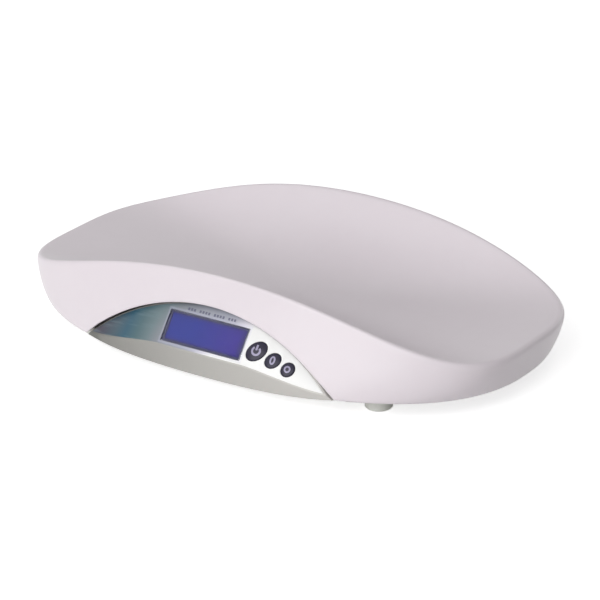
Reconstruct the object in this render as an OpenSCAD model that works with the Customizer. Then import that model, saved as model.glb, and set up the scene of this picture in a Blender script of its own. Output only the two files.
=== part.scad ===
// Digital baby weighing scale: a long dished tray with a full skirt floats on a
// single load cell over a low base, and the console stands in the skirt's arch.
// +X is the user's right, -Y the front with the console, +Z up.
// The origin is the middle of the footprint, on the ground.

/* [Tray] */
// Half the length of the rim crest
rim_half_len = 280.8; // [270:0.1:285]
// Half the width of the rim crest
rim_half_w = 129.5; // [126:0.5:133]
// Squareness of the rim's outline
rim_power = 3.6; // [3.2:0.1:4]
// Half the length of the skirt's lower edge
skirt_half_len = 272.7; // [266:0.1:276]
// Half the width of the skirt's lower edge
skirt_half_w = 168.5; // [167:0.25:172]
// Squareness of the skirt's lower outline
skirt_power = 2.37; // [2.2:0.01:2.6]
// Height of the skirt's lower edge above the ground
skirt_z = 18; // [16:0.5:19]
// Height of the rim crest at the middle of the long sides
crest_z = 105.4; // [102:0.1:108]
// Height of the dish floor at its middle
dish_z = 46; // [45:0.5:48]
// Wall thickness of the moulding
tray_wall = 3; // [2.6:0.1:3.2]
// Size of the rolled rim
rim_round = 7; // [5:0.5:8]

/* [Arch and console] */
// Height of the arch's crown above the ground
arch_z = 76.2; // [74:0.1:78]
// Half the arch's span at the skirt's lower edge
arch_half = 148; // [144:1:150]
// Gap between the tray's arch and the console
arch_gap = 2; // [1.5:0.1:2.5]
// Lean of the panel from the horizontal, degrees
panel_tilt = 51.5; // [50:0.5:53]
// Place of the panel's middle, front to back
panel_y = -150; // [-151:0.5:-149]
// Height of the panel's middle
panel_z = 51.3; // [50.8:0.1:51.8]
// Half the width of the panel's flat stretch
panel_flat = 48; // [47:0.5:49]
// How far the panel falls away at its tips
panel_fall = 17.9; // [17:0.1:18.5]
// Front of the chin at the crease, on the centre line
chin_y = -162.8; // [-163:0.1:-161.5]
// Height of the chin's lower edge on the centre line
chin_z = 9.5; // [9:0.5:10.5]
// Rise of the chin's lower edge towards its tips
chin_rise = 6.8; // [6.2:0.1:7.5]
// Wall thickness of the console housing
housing_wall = 2.4; // [2.2:0.1:2.6]
// Width of the display window
window_w = 94; // [93:0.5:95]
// Height of the display window
window_h = 32.5; // [32:0.5:33]

/* [Buttons] */
// Travel of each button
button_travel = 0.8; // [0.6:0.1:0.9]
// Clearance round each button
button_gap = 0.35; // [0.3:0.05:0.5]
// How far the buttons stand out of the panel
button_proud = 1.9; // [1.6:0.1:2.2]

/* [Base] */
// Half the length of the base pan
pan_half_len = 228; // [226:1:229]
// Half the width of the base pan
pan_half_w = 152; // [151:0.5:153]
// Height of the pan's underside above the ground
pan_z = 11; // [10.8:0.1:11.2]
// Top of the pan's wall
pan_top = 33; // [30:1:34]
// Thickness of the pan's floor and wall
pan_wall = 2.5; // [2.4:0.1:2.6]
// Foot diameter
foot_d = 27; // [25:1:28]
// Distance of the feet from the middle, along the length
foot_x = 170; // [168:1:172]
// Distance of the feet from the middle, across
foot_y = 106; // [104:1:107]

/* [Weighing gear] */
// Length of the load cell
cell_len = 80; // [79:1:82]
// Side of the load cell's square section
cell_side = 12.7; // [12.5:0.1:12.7]
// Thickness of the steel chassis and the platform frame
plate = 2.5; // [2.4:0.1:2.6]
// Reach of the tray's screw bosses along the length
boss_x = 150; // [146:1:152]
// Reach of the tray's screw bosses across
boss_y = 40; // [38:1:42]
// Top of the standoffs under the tray
standoff_top = 47; // [46.5:0.1:47.2]
// Gap between the overload stops and the platform frame
stop_gap = 1; // [0.9:0.1:1.2]

/* [Battery] */
// Cell diameter
battery_d = 14.2; // [14:0.1:14.3]
// Cell length without its nub
battery_len = 49; // [48.4:0.1:49.2]
// Pitch from cell to cell
battery_pitch = 15.4; // [15.2:0.1:15.5]

/* [Hidden] */

$fn = 64;
eps = 0.01;
plastic_white = "#e8e3e4";
plastic_grey = "#b9b6b1";
steel = "#a9adb0";
board_green = "#2f6b45";

// ---- the tray's form ------------------------------------------------------
// The rim and the skirt's lower edge are superellipses, and the flank runs from
// one to the other. The angle a is the outline's own parameter, 0 at +X.

flank_bend = 1.25;
dish_power = 2.1;
crest_lift_end = 1.9;
crest_lift_mid = 1.6;

function outline(a, power) = pow(pow(abs(cos(a)), power) + pow(abs(sin(a)), power), -1 / power);
function crest_share(a) = pow(outline(a, rim_power) * cos(a), 2);
function crest_drawn(a) =
    let (u = crest_share(a)) crest_z - 65.3 * u - 10.1 * u * u + 23.2 * u * u * u;
// the rolled rim takes a little off the crest, so the unrolled crest stands higher
function crest(a) =
    crest_drawn(a) + crest_lift_end + crest_lift_mid * (crest_drawn(a) - 53) / 52;

function flank_xy(a, t, inset) =
    let (g = pow(t, flank_bend), power = rim_power + (skirt_power - rim_power) * g,
         half_len = rim_half_len + (skirt_half_len - rim_half_len) * g - inset,
         half_w = rim_half_w + (skirt_half_w - rim_half_w) * g - inset,
         r = outline(a, power))
    [half_len * r * cos(a), half_w * r * sin(a)];
function flank(a, t, inset = 0) =
    let (p = flank_xy(a, t, inset)) [p.x, p.y, crest(a) + (skirt_z - crest(a)) * t];

function rim_radius(a) = norm(flank_xy(a, 0, 0));
function dish(a, s) =
    let (p = flank_xy(a, 0, 0)) [p.x * s, p.y * s, dish_z + (crest(a) - dish_z) * pow(s, dish_power)];
function dish_slope(a, s) =
    dish_power * (crest(a) - dish_z) * pow(s, dish_power - 1) / rim_radius(a);
function dish_under(a, s) =
    dish(a, s) - [0, 0, tray_wall * sqrt(1 + pow(dish_slope(a, s), 2))];

// a quadratic curve over the rim's corner
function rolled(p, q, r, w) = (1 - w) * (1 - w) * p + 2 * w * (1 - w) * q + w * w * r;

// the arch is a circle in the front view, cut straight back through the front flank
arch_rise = arch_z - skirt_z;
arch_r = (arch_half * arch_half + arch_rise * arch_rise) / (2 * arch_rise);
arch_cz = arch_z - arch_r;
function arch_height(x) =
    abs(x) < arch_half + 20 ? arch_cz + sqrt(arch_r * arch_r - x * x) : -1000;
function above_arch(a, t, inset) =
    let (p = flank(a, t, inset)) p.z - max(skirt_z, arch_height(p.x));
function edge_share(a, inset, low = 0.05, high = 1, steps = 16) =
    sin(a) > 0 ? 1
    : steps == 0 ? (low + high) / 2
    : let (mid = (low + high) / 2)
      above_arch(a, mid, inset) > 0 ? edge_share(a, inset, mid, high, steps - 1)
      : edge_share(a, inset, low, mid, steps - 1);

// the outline angle, from the front, at which the arch meets the skirt's lower edge
function tip_angle(low = 10, high = 60, steps = 20) =
    steps == 0 ? (low + high) / 2
    : let (mid = (low + high) / 2)
      flank_xy(mid - 90, 1, 0).x < arch_half ? tip_angle(mid, high, steps - 1)
      : tip_angle(low, mid, steps - 1);
arch_steps = 28;
rest_steps = 64;
function tray_angles() =
    let (tip = tip_angle())
    [for (i = [0 : arch_steps - 1]) -90 - tip + 2 * tip * i / arch_steps,
     for (i = [0 : rest_steps - 1]) -90 + tip + (360 - 2 * tip) * i / rest_steps];

flank_steps = 7;
roll_steps = 4;
dish_shares = [0.95, 0.88, 0.79, 0.69, 0.58, 0.46, 0.32, 0.16];
under_shares = [0.16, 0.4, 0.6, 0.78, 0.9];
function roll_start(a) = rim_round / (crest(a) - skirt_z);
function roll_end(a) = 1 - rim_round / rim_radius(a);
function corner_share(a) =
    (3.4 + 4 * (crest_drawn(a) - 53) / 52) / (crest(a) - skirt_z);
function tray_section(a) = concat(
    [for (s = under_shares) dish_under(a, s)],
    [dish_under(a, 1 - (tray_wall + 2) / rim_radius(a))],
    [for (i = [0 : 3])
        let (low = corner_share(a)) flank(a, low + (edge_share(a, tray_wall) - low) * i / 3, tray_wall)],
    [for (i = [0 : flank_steps])
        let (low = roll_start(a), high = edge_share(a, 0))
        flank(a, high + (low - high) * i / flank_steps)],
    [for (i = [1 : roll_steps])
        rolled(flank(a, roll_start(a)), flank(a, 0), dish(a, roll_end(a)), i / roll_steps)],
    [for (s = dish_shares) if (s < roll_end(a) - 0.004) dish(a, s)
        else dish(a, roll_end(a) - 0.004)]);

// skins a ring of equal sections, with one point closing each end
module skin(sections, first, last) {
    n = len(sections);
    m = len(sections[0]);
    points = concat([first, last], [for (row = sections) for (p = row) p]);
    function at(i, j) = 2 + (i % n) * m + j;
    faces = [for (i = [0 : n - 1]) each concat(
        [[0, at(i, 0), at(i + 1, 0)], [1, at(i + 1, m - 1), at(i, m - 1)]],
        [for (j = [0 : m - 2]) each [
            [at(i, j), at(i + 1, j + 1), at(i + 1, j)],
            [at(i, j), at(i, j + 1), at(i + 1, j + 1)]]])];
    polyhedron(points, faces, convexity = 10);
}

// ---- small helpers --------------------------------------------------------
module tube(outer, bore, h) {
    difference() {
        cylinder(d = outer, h = h);
        translate([0, 0, -1]) cylinder(d = bore, h = h + 2);
    }
}
module block(low, high) {
    translate(low) cube(high - low);
}
// a pan-head screw, its head below z = 0 and its shank upwards
module screw(shank, length, head, head_h) {
    translate([0, 0, -head_h]) difference() {
        cylinder(d = head, h = head_h);
        translate([0, 0, -1]) cylinder(d = head * 0.42, h = 1 + head_h * 0.55, $fn = 6);
    }
    translate([0, 0, -eps]) cylinder(d = shank, h = length + eps);
}
module at_corners(x, y) {
    for (sx = [-1, 1], sy = [-1, 1]) translate([sx * x, sy * y, 0]) children();
}
// a cable of straight stretches swept along hand-placed points
module cable(route, d, sides = 8) {
    n = len(route);
    function way(i) =
        let (a = route[max(i - 1, 0)], b = route[min(i + 1, n - 1)]) (b - a) / norm(b - a);
    function side(w) = let (s = abs(w.z) > 0.9 ? cross(w, [1, 0, 0]) : cross(w, [0, 0, 1])) s / norm(s);
    function ring(i) = let (w = way(i), u = side(w), v = cross(w, u))
        [for (k = [0 : sides - 1]) route[i] + d / 2 * (cos(360 * k / sides) * u + sin(360 * k / sides) * v)];
    points = concat([route[0], route[n - 1]], [for (i = [0 : n - 1]) each ring(i)]);
    function at(i, k) = 2 + i * sides + k % sides;
    faces = concat(
        [for (k = [0 : sides - 1]) [0, at(0, k), at(0, k + 1)]],
        [for (k = [0 : sides - 1]) [1, at(n - 1, k + 1), at(n - 1, k)]],
        [for (i = [0 : n - 2], k = [0 : sides - 1]) each [
            [at(i, k), at(i + 1, k), at(i + 1, k + 1)],
            [at(i, k), at(i + 1, k + 1), at(i, k + 1)]]]);
    polyhedron(points, faces, convexity = 6);
}

// ---- levels of the weighing gear ------------------------------------------
floor_z = pan_z + pan_wall;
chassis_top = floor_z + plate;
cell_z = chassis_top + 2.8;
cell_top = cell_z + cell_side;
frame_z = cell_top + 2.8;
frame_top = frame_z + plate;
cell_hole_in = 17.5;
cell_hole_out = 32.5;
cell_bolt = 4.8;
stop_x = 118;
arm_angle = atan(boss_y / boss_x);
arm_len = norm([boss_x, boss_y]) + 13;
arm_w = 30;
lip_start = 62;
lip_t = 2;
lip_h = 3;
hub = [52, 30];

// ---- platform -------------------------------------------------------------
module tray_shell() {
    sections = [for (a = tray_angles()) tray_section(a)];
    color(plastic_white) skin(sections, [0, 0, dish_z - tray_wall], [0, 0, dish_z]);
}
// threaded standoffs, their heads sunk a little into the tray's underside
module tray_standoffs() {
    color("#8f8c88") at_corners(boss_x, boss_y) translate([0, 0, frame_top]) difference() {
        cylinder(d = 14, h = standoff_top - frame_top);
        translate([0, 0, -1]) cylinder(d = 3.4, h = 9);
    }
}
// a pressed steel arm, its edges turned up outside the middle plate
module frame_arm(angle) {
    rotate([0, 0, angle]) {
        block([-arm_len, -arm_w / 2, frame_z], [arm_len, arm_w / 2, frame_top]);
        for (sx = [-1, 1], sy = [-1, 1])
            translate([sx * (arm_len + lip_start) / 2, sy * (arm_w - lip_t) / 2, frame_z])
                translate([0, 0, (plate + lip_h) / 2])
                    cube([arm_len - lip_start, lip_t, plate + lip_h], center = true);
    }
}
module platform_frame() {
    color(steel) difference() {
        union() {
            for (s = [-1, 1]) frame_arm(s * arm_angle);
            block([-hub.x, -hub.y, frame_z], [hub.x, hub.y, frame_top]);
        }
        at_corners(boss_x, boss_y) translate([0, 0, frame_z - 1]) cylinder(d = 4.4, h = plate + 2);
        for (x = [cell_hole_in, cell_hole_out])
            translate([x, 0, frame_z - 1]) cylinder(d = 5.4, h = plate + 2);
    }
}
module spacer(x_low, x_high, z, h) {
    difference() {
        block([x_low, -8, z], [x_high, 8, z + h]);
        for (x = [cell_hole_in, cell_hole_out])
            translate([sign(x_low + x_high) * x, 0, z - 1]) cylinder(d = 5.4, h = h + 2);
    }
}
module cell_spacer_upper() {
    color(steel) spacer(10, 40, cell_top, frame_z - cell_top);
}
module cell_bolts_upper() {
    color("#5c5f63") for (x = [cell_hole_in, cell_hole_out])
        translate([x, 0, frame_top]) rotate([180, 0, 0]) screw(cell_bolt, 14.5, 8.5, 2.6);
}
module tray_screws() {
    color("#5c5f63") at_corners(boss_x, boss_y)
        translate([0, 0, frame_z]) screw(3.2, plate + 7, 7, 2.2);
}

// ---- base -----------------------------------------------------------------
pan_power = 3;
function pan_outline(inset) = [for (i = [0 : 95])
    let (a = 360 * i / 96, r = outline(a, pan_power))
    [(pan_half_len - inset) * r * cos(a), (pan_half_w - inset) * r * sin(a)]];
console_half = 150;
console_back = -117.5;
door_half = 35.2;
door_front = 78.5;
bay_x = 31.5;
bay_y = [83, 139.5];
ledge_half = 38;
ledge_y = [76, 148.5];
ledge_z = 13.3;
ledge_top = 15.3;
rail_x = 36.7;
lip_x = 34.4;
door_back = 149;
housing_screw_at = [for (x = [-120, -50, 50, 120]) [x, -110]];
rib_x = 205;
rib_half = 60;
rib_top = 20;

module pan_walls() {
    difference() {
        translate([0, 0, pan_z + 1.2]) linear_extrude(pan_top - pan_z - 1.2) polygon(pan_outline(0));
        translate([0, 0, floor_z]) linear_extrude(pan_top) polygon(pan_outline(pan_wall));
    }
    translate([0, 0, pan_z]) linear_extrude(1.3) polygon(pan_outline(1.6));
}
module base_pan() {
    color(plastic_grey) difference() {
        union() {
            difference() {
                pan_walls();
                block([-console_half, -200, 0], [console_half, console_back, 60]);
                block([-door_half, door_front, 0], [door_half, 200, ledge_z]);
            }
            // ledge round the battery bay
            difference() {
                block([-ledge_half, ledge_y[0], ledge_z], [ledge_half, ledge_y[1], ledge_top]);
                block([-bay_x, bay_y[0], 0], [bay_x, bay_y[1], 60]);
            }
            // side walls of the door's slot, the lips that hold the door, and its end stop
            for (sx = [-1, 1]) {
                translate([sx * rail_x, 0, 0]) block([-1.5, ledge_y[0], pan_z], [1.5, ledge_y[1], ledge_z + 1]);
                translate([sx * lip_x, 0, 0]) block([-1, door_front, pan_z], [1, door_back, pan_z + 0.9]);
            }
            block([-ledge_half, ledge_y[0], pan_z], [ledge_half, door_front, ledge_z + 1]);
            // stiffening ribs beside the chassis
            for (sx = [-1, 1]) translate([sx * rib_x, 0, 0])
                block([-1, -rib_half, floor_z - 0.5], [1, rib_half, rib_top]);
        }
        at_corners(foot_x, foot_y) translate([0, 0, pan_z - 1]) cylinder(d = 4.4, h = 6);
        for (x = [-cell_hole_in, -cell_hole_out])
            translate([x, 0, pan_z - 1]) cylinder(d = 11, h = 6);
        for (p = housing_screw_at) translate([p.x, p.y, pan_z - 1]) cylinder(d = 3.6, h = 6);
    }
}
chassis_outline = [
    [-192, -96], [-184, -112], [-152, -112], [-152, -98], [152, -98], [152, -112], [184, -112],
    [192, -96], [192, 96], [184, 112], [152, 118], [42, 118], [42, 72], [-42, 72], [-42, 118],
    [-152, 118], [-184, 112], [-192, 96]];
module chassis_plate() {
    color(steel) translate([0, 0, floor_z]) difference() {
        linear_extrude(plate) polygon(chassis_outline);
        translate([0, 0, -1]) {
            at_corners(foot_x, foot_y) cylinder(d = 4.4, h = 5);
            at_corners(stop_x, stop_x * boss_y / boss_x) cylinder(d = 5.4, h = 5);
            for (x = [-cell_hole_in, -cell_hole_out]) translate([x, 0, 0]) cylinder(d = 5.4, h = 5);
            // weight-saving holes
            for (sx = [-1, 1], x = [88, 150], y = [-68, 68])
                translate([sx * x, y, 0]) cylinder(d = 42, h = 5);
            for (sx = [-1, 1]) translate([sx * 160, 0, 0]) cylinder(d = 34, h = 5);
            for (x = [-36, 36]) translate([x, -62, 0]) cylinder(d = 36, h = 5);
        }
    }
}
module cell_spacer_lower() {
    color(steel) spacer(-40, -10, chassis_top, cell_z - chassis_top);
}
module load_cell() {
    color("#c9ccd0") difference() {
        translate([-cell_len / 2, -cell_side / 2, cell_z]) cube([cell_len, cell_side, cell_side]);
        translate([0, 0, cell_z + cell_side / 2]) rotate([90, 0, 0]) {
            for (x = [-6, 6]) translate([x, 0, -20]) cylinder(d = 10.4, h = 40);
            translate([-6, -2, -20]) cube([12, 4, 40]);
        }
        for (x = [-cell_hole_out, -cell_hole_in, cell_hole_in, cell_hole_out])
            translate([x, 0, cell_z - 1]) cylinder(d = 5, h = cell_side + 2);
    }
}
module gauge_cover() {
    color("#f0f0ea") {
        block([-10, -cell_side / 2 + 1, cell_top], [9, cell_side / 2 - 1, cell_top + 1.2]);
        block([-10, -cell_side / 2 + 1, cell_z - 1.2], [9, cell_side / 2 - 1, cell_z]);
    }
}
module cell_bolts_lower() {
    color("#5c5f63") for (x = [-cell_hole_in, -cell_hole_out])
        translate([x, 0, floor_z]) screw(cell_bolt, 14.5, 8.5, 2.3);
}
module overload_stops() {
    color("#5c5f63") at_corners(stop_x, stop_x * boss_y / boss_x)
        translate([0, 0, floor_z]) cylinder(d = 5.3, h = frame_z - stop_gap - floor_z);
}
module hex_nut(across, bore, h) {
    difference() {
        cylinder(d = across / cos(30), h = h, $fn = 6);
        translate([0, 0, -1]) cylinder(d = bore, h = h + 2);
    }
}
module stop_nuts() {
    color(steel) at_corners(stop_x, stop_x * boss_y / boss_x)
        translate([0, 0, chassis_top]) hex_nut(9, 5.4, 4);
}
module foot(sx, sy) {
    color("#b4b5b0") translate([sx * foot_x, sy * foot_y, 0]) difference() {
        rotate_extrude() polygon([[0, 0], [foot_d / 2 - 1.2, 0], [foot_d / 2, 1.2],
            [foot_d / 2, 2.5], [foot_d / 2 - 1.2, pan_z], [0, pan_z]]);
        translate([0, 0, -1]) cylinder(d = 10, h = 5.5);
        translate([0, 0, -1]) cylinder(d = 4.4, h = pan_z + 2);
    }
}
module foot_front_left() { foot(-1, -1); }
module foot_front_right() { foot(1, -1); }
module foot_rear_left() { foot(-1, 1); }
module foot_rear_right() { foot(1, 1); }
module foot_screws() {
    color("#5c5f63") at_corners(foot_x, foot_y)
        translate([0, 0, 4.5]) screw(4, 16, 8, 2.2);
}
module foot_nuts() {
    color(steel) at_corners(foot_x, foot_y) translate([0, 0, chassis_top]) hex_nut(7, 4.2, 3.2);
}

// ---- console --------------------------------------------------------------
// In the panel's own axes X runs along the panel, Y up its slope and Z out of it.
module on_panel() {
    translate([0, panel_y, panel_z]) rotate([panel_tilt, 0, 0]) children();
}
tip_x = arch_half - 3;
function panel_drop(x) =
    abs(x) <= panel_flat ? 0 : panel_fall * pow((abs(x) - panel_flat) / (tip_x - panel_flat), 1.5);
fall_steps = 9;
function fall_xs() = [for (i = [0 : fall_steps]) panel_flat + (152 - panel_flat) * i / fall_steps];
module under_panel(depth) {
    right = [for (x = fall_xs()) [x, -panel_drop(x) - depth]];
    left = [for (i = [fall_steps : -1 : 0]) [-fall_xs()[i], -panel_drop(fall_xs()[i]) - depth]];
    on_panel() translate([0, 70, 0]) rotate([90, 0, 0]) linear_extrude(150)
        polygon(concat(right, [[152, -130], [-152, -130]], left));
}
module panel_layer(thickness) {
    right = [for (x = fall_xs()) [x, -panel_drop(x)]];
    left = [for (i = [fall_steps : -1 : 0]) [-fall_xs()[i], -panel_drop(fall_xs()[i])]];
    top = concat(left, right);
    under = [for (i = [len(top) - 1 : -1 : 0]) top[i] - [0, thickness]];
    on_panel() translate([0, 50, 0]) rotate([90, 0, 0]) linear_extrude(90) polygon(concat(top, under));
}
module arch_disc(r) {
    translate([0, 0, arch_cz]) rotate([90, 0, 0]) cylinder(r = r, h = 400, center = true, $fn = 720);
}
// seen from above the chin is nearly straight in the middle and turns back at its tips
chin_half = 141;
chin_bow = 9;
chin_power = 4;
chin_reach = 152;
chin_steps = 24;
function chin_back(x) = chin_bow * pow(abs(x) / chin_half, chin_power);
chin_under_r = chin_half * chin_half / (2 * chin_rise);
chin_lean = 9.4;
crease_z = 36;
module behind_chin(inset) {
    bowed = [for (i = [-chin_steps : chin_steps])
        let (x = chin_reach * i / chin_steps) [x, chin_back(x)]];
    translate([0, chin_y + inset, crease_z]) rotate([chin_lean, 0, 0])
        linear_extrude(200, center = true)
            polygon(concat(bowed, [[chin_reach, 200], [-chin_reach, 200]]));
}
module above_chin_edge(inset) {
    translate([0, 0, chin_z + chin_under_r]) rotate([90, 0, 0])
        cylinder(r = chin_under_r - inset, h = 400, center = true, $fn = 1080);
}
module console_space(panel_depth, inset, back) {
    intersection() {
        under_panel(panel_depth);
        arch_disc(arch_r - arch_gap - inset);
        behind_chin(inset);
        above_chin_edge(inset);
        block([-160, -220, 0], [160, back, 90]);
    }
}
fascia_t = 0.8;
skin_depth = fascia_t + housing_wall;
window_t = 2.2;

// each button: centre on the panel, half axes and the long axis's turn
button_at = [[61.5, -3], [80.6, -7.3], [97.7, -11.5]];
button_half = [[11.7, 8.6], [8.7, 7.0], [7.4, 6.6]];
button_turn = [46, 45, 55];
key_x = (button_at[0].x + button_at[2].x) / 2;
key_run = button_at[2].x - button_at[0].x;
key_tilt = atan((panel_drop(button_at[2].x) - panel_drop(button_at[0].x)) / key_run);
key_depth = (panel_drop(button_at[2].x) + panel_drop(button_at[0].x)) / 2;
module on_keys() {
    on_panel() translate([key_x, 0, -key_depth]) rotate([0, key_tilt, 0]) children();
}
function key_place(i) = [(button_at[i].x - key_x) / cos(key_tilt), button_at[i].y];
function oval(half, more) = [for (i = [0 : 47])
    [(half.x + more) * cos(360 * i / 48), (half.y + more) * sin(360 * i / 48)]];
module button_prism(i, more, low, high) {
    on_keys() translate([key_place(i).x, key_place(i).y, low]) rotate([0, 0, button_turn[i]])
        linear_extrude(high - low) polygon(oval(button_half[i], more));
}

board_z = -9.4;
board_t = 1.6;
board_post_at = [[-55, 9], [-55, -12], [30, 21], [-30, 21]];
key_board_z = -11.9;
key_post_at = [[-2, 8], [-12, -14]];
module console_housing() {
    color(plastic_grey) difference() {
        union() {
            difference() {
                console_space(fascia_t, 0, -118);
                console_space(skin_depth, housing_wall, -100);
            }
            // flange that lies on the pan's floor
            difference() {
                union() {
                    block([-138, -124, floor_z], [138, -104, floor_z + 2.4]);
                    block([-138, -124, floor_z - 1.5], [138, -118, floor_z + 2.4]);
                }
                block([-46, -118, 0], [46, -100, 40]);
            }
            intersection() {
                union() {
                    on_panel() for (p = board_post_at)
                        translate([p.x, p.y, board_z]) cylinder(d = 5, h = -board_z - skin_depth + 0.6);
                    on_keys() for (p = key_post_at)
                        translate([p.x, p.y, key_board_z]) cylinder(d = 4.4, h = -key_board_z - skin_depth + 1.4);
                }
                console_space(fascia_t + 1, 1, -110);
            }
        }
        on_panel() {
            block([-window_w / 2 - 0.2, -window_h / 2 - 0.2, -window_t], [window_w / 2 + 0.2, window_h / 2 + 0.2, 5]);
            block([-window_w / 2 + 2, -window_h / 2 + 2, -9], [window_w / 2 - 2, window_h / 2 - 2, 5]);
            for (p = board_post_at) translate([p.x, p.y, board_z - 1]) cylinder(d = 1.9, h = 6);
        }
        on_keys() for (p = key_post_at) translate([p.x, p.y, key_board_z - 1]) cylinder(d = 1.7, h = 6);
        for (i = [0 : 2]) button_prism(i, button_gap, -9, 6);
        for (p = housing_screw_at) translate([p.x, p.y, floor_z - 1]) cylinder(d = 2.6, h = 6);
    }
}
module housing_screws() {
    color("#5c5f63") for (p = housing_screw_at)
        translate([p.x, p.y, pan_z]) screw(2.5, 5, 5.4, 1.6);
}
// margins of the sheet inside the arch and above the crease
sheet_arch_margin = 0.8;
sheet_crease_margin = 0.5;
module fascia_panel() {
    color("#f4f2ee") difference() {
        intersection() {
            panel_layer(fascia_t);
            arch_disc(arch_r - arch_gap - sheet_arch_margin);
            behind_chin(sheet_crease_margin);
        }
        on_panel() block([-window_w / 2 - 0.2, -window_h / 2 - 0.2, -9], [window_w / 2 + 0.2, window_h / 2 + 0.2, 9]);
        for (i = [0 : 2]) button_prism(i, button_gap, -9, 6);
    }
}
module display_window() {
    color("#4b4f9c") on_panel()
        block([-window_w / 2, -window_h / 2, -window_t], [window_w / 2, window_h / 2, 0.1]);
}
lcd_w = 92;
lcd_h = 31;
module lcd_glass() {
    color("#39407e") on_panel() block([-lcd_w / 2, -lcd_h / 2, -6.1], [lcd_w / 2, lcd_h / 2, -3.4]);
}
module lcd_backlight() {
    color("#dfe4f2") on_panel() block([-lcd_w / 2, -lcd_h / 2, board_z], [lcd_w / 2, lcd_h / 2, -6.1]);
}
module lcd_frame() {
    color(steel) on_panel() difference() {
        block([-lcd_w / 2 - 1.2, -lcd_h / 2 - 1.2, board_z], [lcd_w / 2 + 1.2, lcd_h / 2 + 1.2, -4]);
        block([-lcd_w / 2, -lcd_h / 2, -20], [lcd_w / 2, lcd_h / 2, 5]);
    }
}
module main_board() {
    color(board_green) on_panel() difference() {
        translate([0, 0, board_z - board_t]) linear_extrude(board_t)
            polygon([[-61, -18.5], [49, -18.5], [49, 23.5], [-45, 23.5], [-61, 10]]);
        for (p = board_post_at) translate([p.x, p.y, -20]) cylinder(d = 2.4, h = 20);
    }
}
board_back = board_z - board_t;
chip_blocks = [[-30, -2, 12, 12, 1.6], [2, 2, 9, 7, 1.4], [20, -8, 7, 5, 1.2], [-8, 13, 10, 4, 2.2]];
module board_chips() {
    color("#26262a") on_panel() for (c = chip_blocks)
        block([c[0], c[1], board_back - c[4]], [c[0] + c[2], c[1] + c[3], board_back]);
}
socket_at = [[-50, -12], [-50, 2], [36, -2]];
module board_sockets() {
    color("#efeadf") on_panel() for (p = socket_at)
        block([p.x, p.y, board_back - 5], [p.x + 8, p.y + 6, board_back]);
}
module buzzer() {
    color("#1e1e20") on_panel() translate([29, 13, board_back - 5]) difference() {
        cylinder(d = 12, h = 5);
        translate([0, 0, -1]) cylinder(d = 2, h = 2);
    }
}
module board_screws() {
    color(steel) on_panel() for (p = board_post_at)
        translate([p.x, p.y, board_back]) screw(1.8, board_t + 3.6, 3.8, 1.3);
}
module key_board() {
    color(board_green) on_keys() difference() {
        translate([0, 0, key_board_z - board_t]) linear_extrude(board_t)
            polygon([[-26, -18], [25, -18], [25, -2], [6, 12], [-26, 12]]);
        for (p = key_post_at) translate([p.x, p.y, -20]) cylinder(d = 2.2, h = 20);
    }
}
module key_switches() {
    color("#303034") on_keys() for (i = [0 : 2]) translate([key_place(i).x, key_place(i).y, 0]) {
        block([-3, -3, key_board_z], [3, 3, key_board_z + 3.4]);
        translate([0, 0, key_board_z + 3.3]) cylinder(d = 3.4, h = 1.1);
    }
}
module key_board_screws() {
    color(steel) on_keys() for (p = key_post_at)
        translate([p.x, p.y, key_board_z - board_t]) screw(1.6, board_t + 3.2, 3.6, 1.3);
}
// an oval cap with a domed top, a flange behind the panel and a stem to its switch
dome_r = [38, 30, 26];
module button(i) {
    flange_z = -skin_depth - 2.4;
    stem_z = key_board_z + 4.4 + button_travel + 0.1;
    color("#26243c") {
        intersection() {
            button_prism(i, 0, flange_z, button_proud);
            on_keys() translate([key_place(i).x, key_place(i).y, button_proud - dome_r[i]])
                sphere(r = dome_r[i], $fn = 180);
        }
        intersection() {
            button_prism(i, 1.1, flange_z, flange_z + 1.1);
            behind_chin(housing_wall + 0.4);
        }
        on_keys() translate([key_place(i).x, key_place(i).y, stem_z])
            cylinder(d = 3.6, h = flange_z - stem_z + 0.2);
    }
}
module button_power() { button(0); }
module button_tare() { button(1); }
module button_unit() { button(2); }

// ---- battery --------------------------------------------------------------
battery_z = ledge_z + 0.4 + battery_d / 2;
nub_d = 5.5;
nub_h = 1;
contact_t = 0.4;
plate_block = 2.1;
spring_h = bay_y[1] - bay_y[0] - contact_t - battery_len - nub_h - plate_block;
holder_top = battery_z + battery_d / 2 + 2.2;
function battery_x(i) = (i - 1.5) * battery_pitch;
module battery_holder() {
    color("#2b2b2e") difference() {
        block([-34.5, 80.5, ledge_top], [34.5, 142.5, holder_top]);
        block([-31.4, bay_y[0], 0], [31.4, bay_y[1], holder_top - 1.8]);
        for (x = [-20, 20]) translate([x, 80, ledge_top + 3]) rotate([-90, 0, 0])
            translate([0, 0, -1]) cylinder(d = 2.2, h = 8);
    }
}
// the cells lie head to tail, each flat end against a spring
module battery(i) {
    ahead = i % 2 == 0;
    y = ahead ? bay_y[0] + contact_t + spring_h : bay_y[1] - contact_t - spring_h;
    color(ahead ? "#3a3a40" : "#44444c") translate([battery_x(i), y, battery_z])
        rotate([ahead ? -90 : 90, 0, 0]) {
            rotate_extrude() polygon([[0, 0], [battery_d / 2 - 0.6, 0], [battery_d / 2, 0.6],
                [battery_d / 2, battery_len - 0.8], [battery_d / 2 - 0.8, battery_len], [0, battery_len]]);
            cylinder(d = nub_d, h = battery_len + nub_h);
        }
}
module battery_1() { battery(0); }
module battery_2() { battery(1); }
module battery_3() { battery(2); }
module battery_4() { battery(3); }
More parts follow.
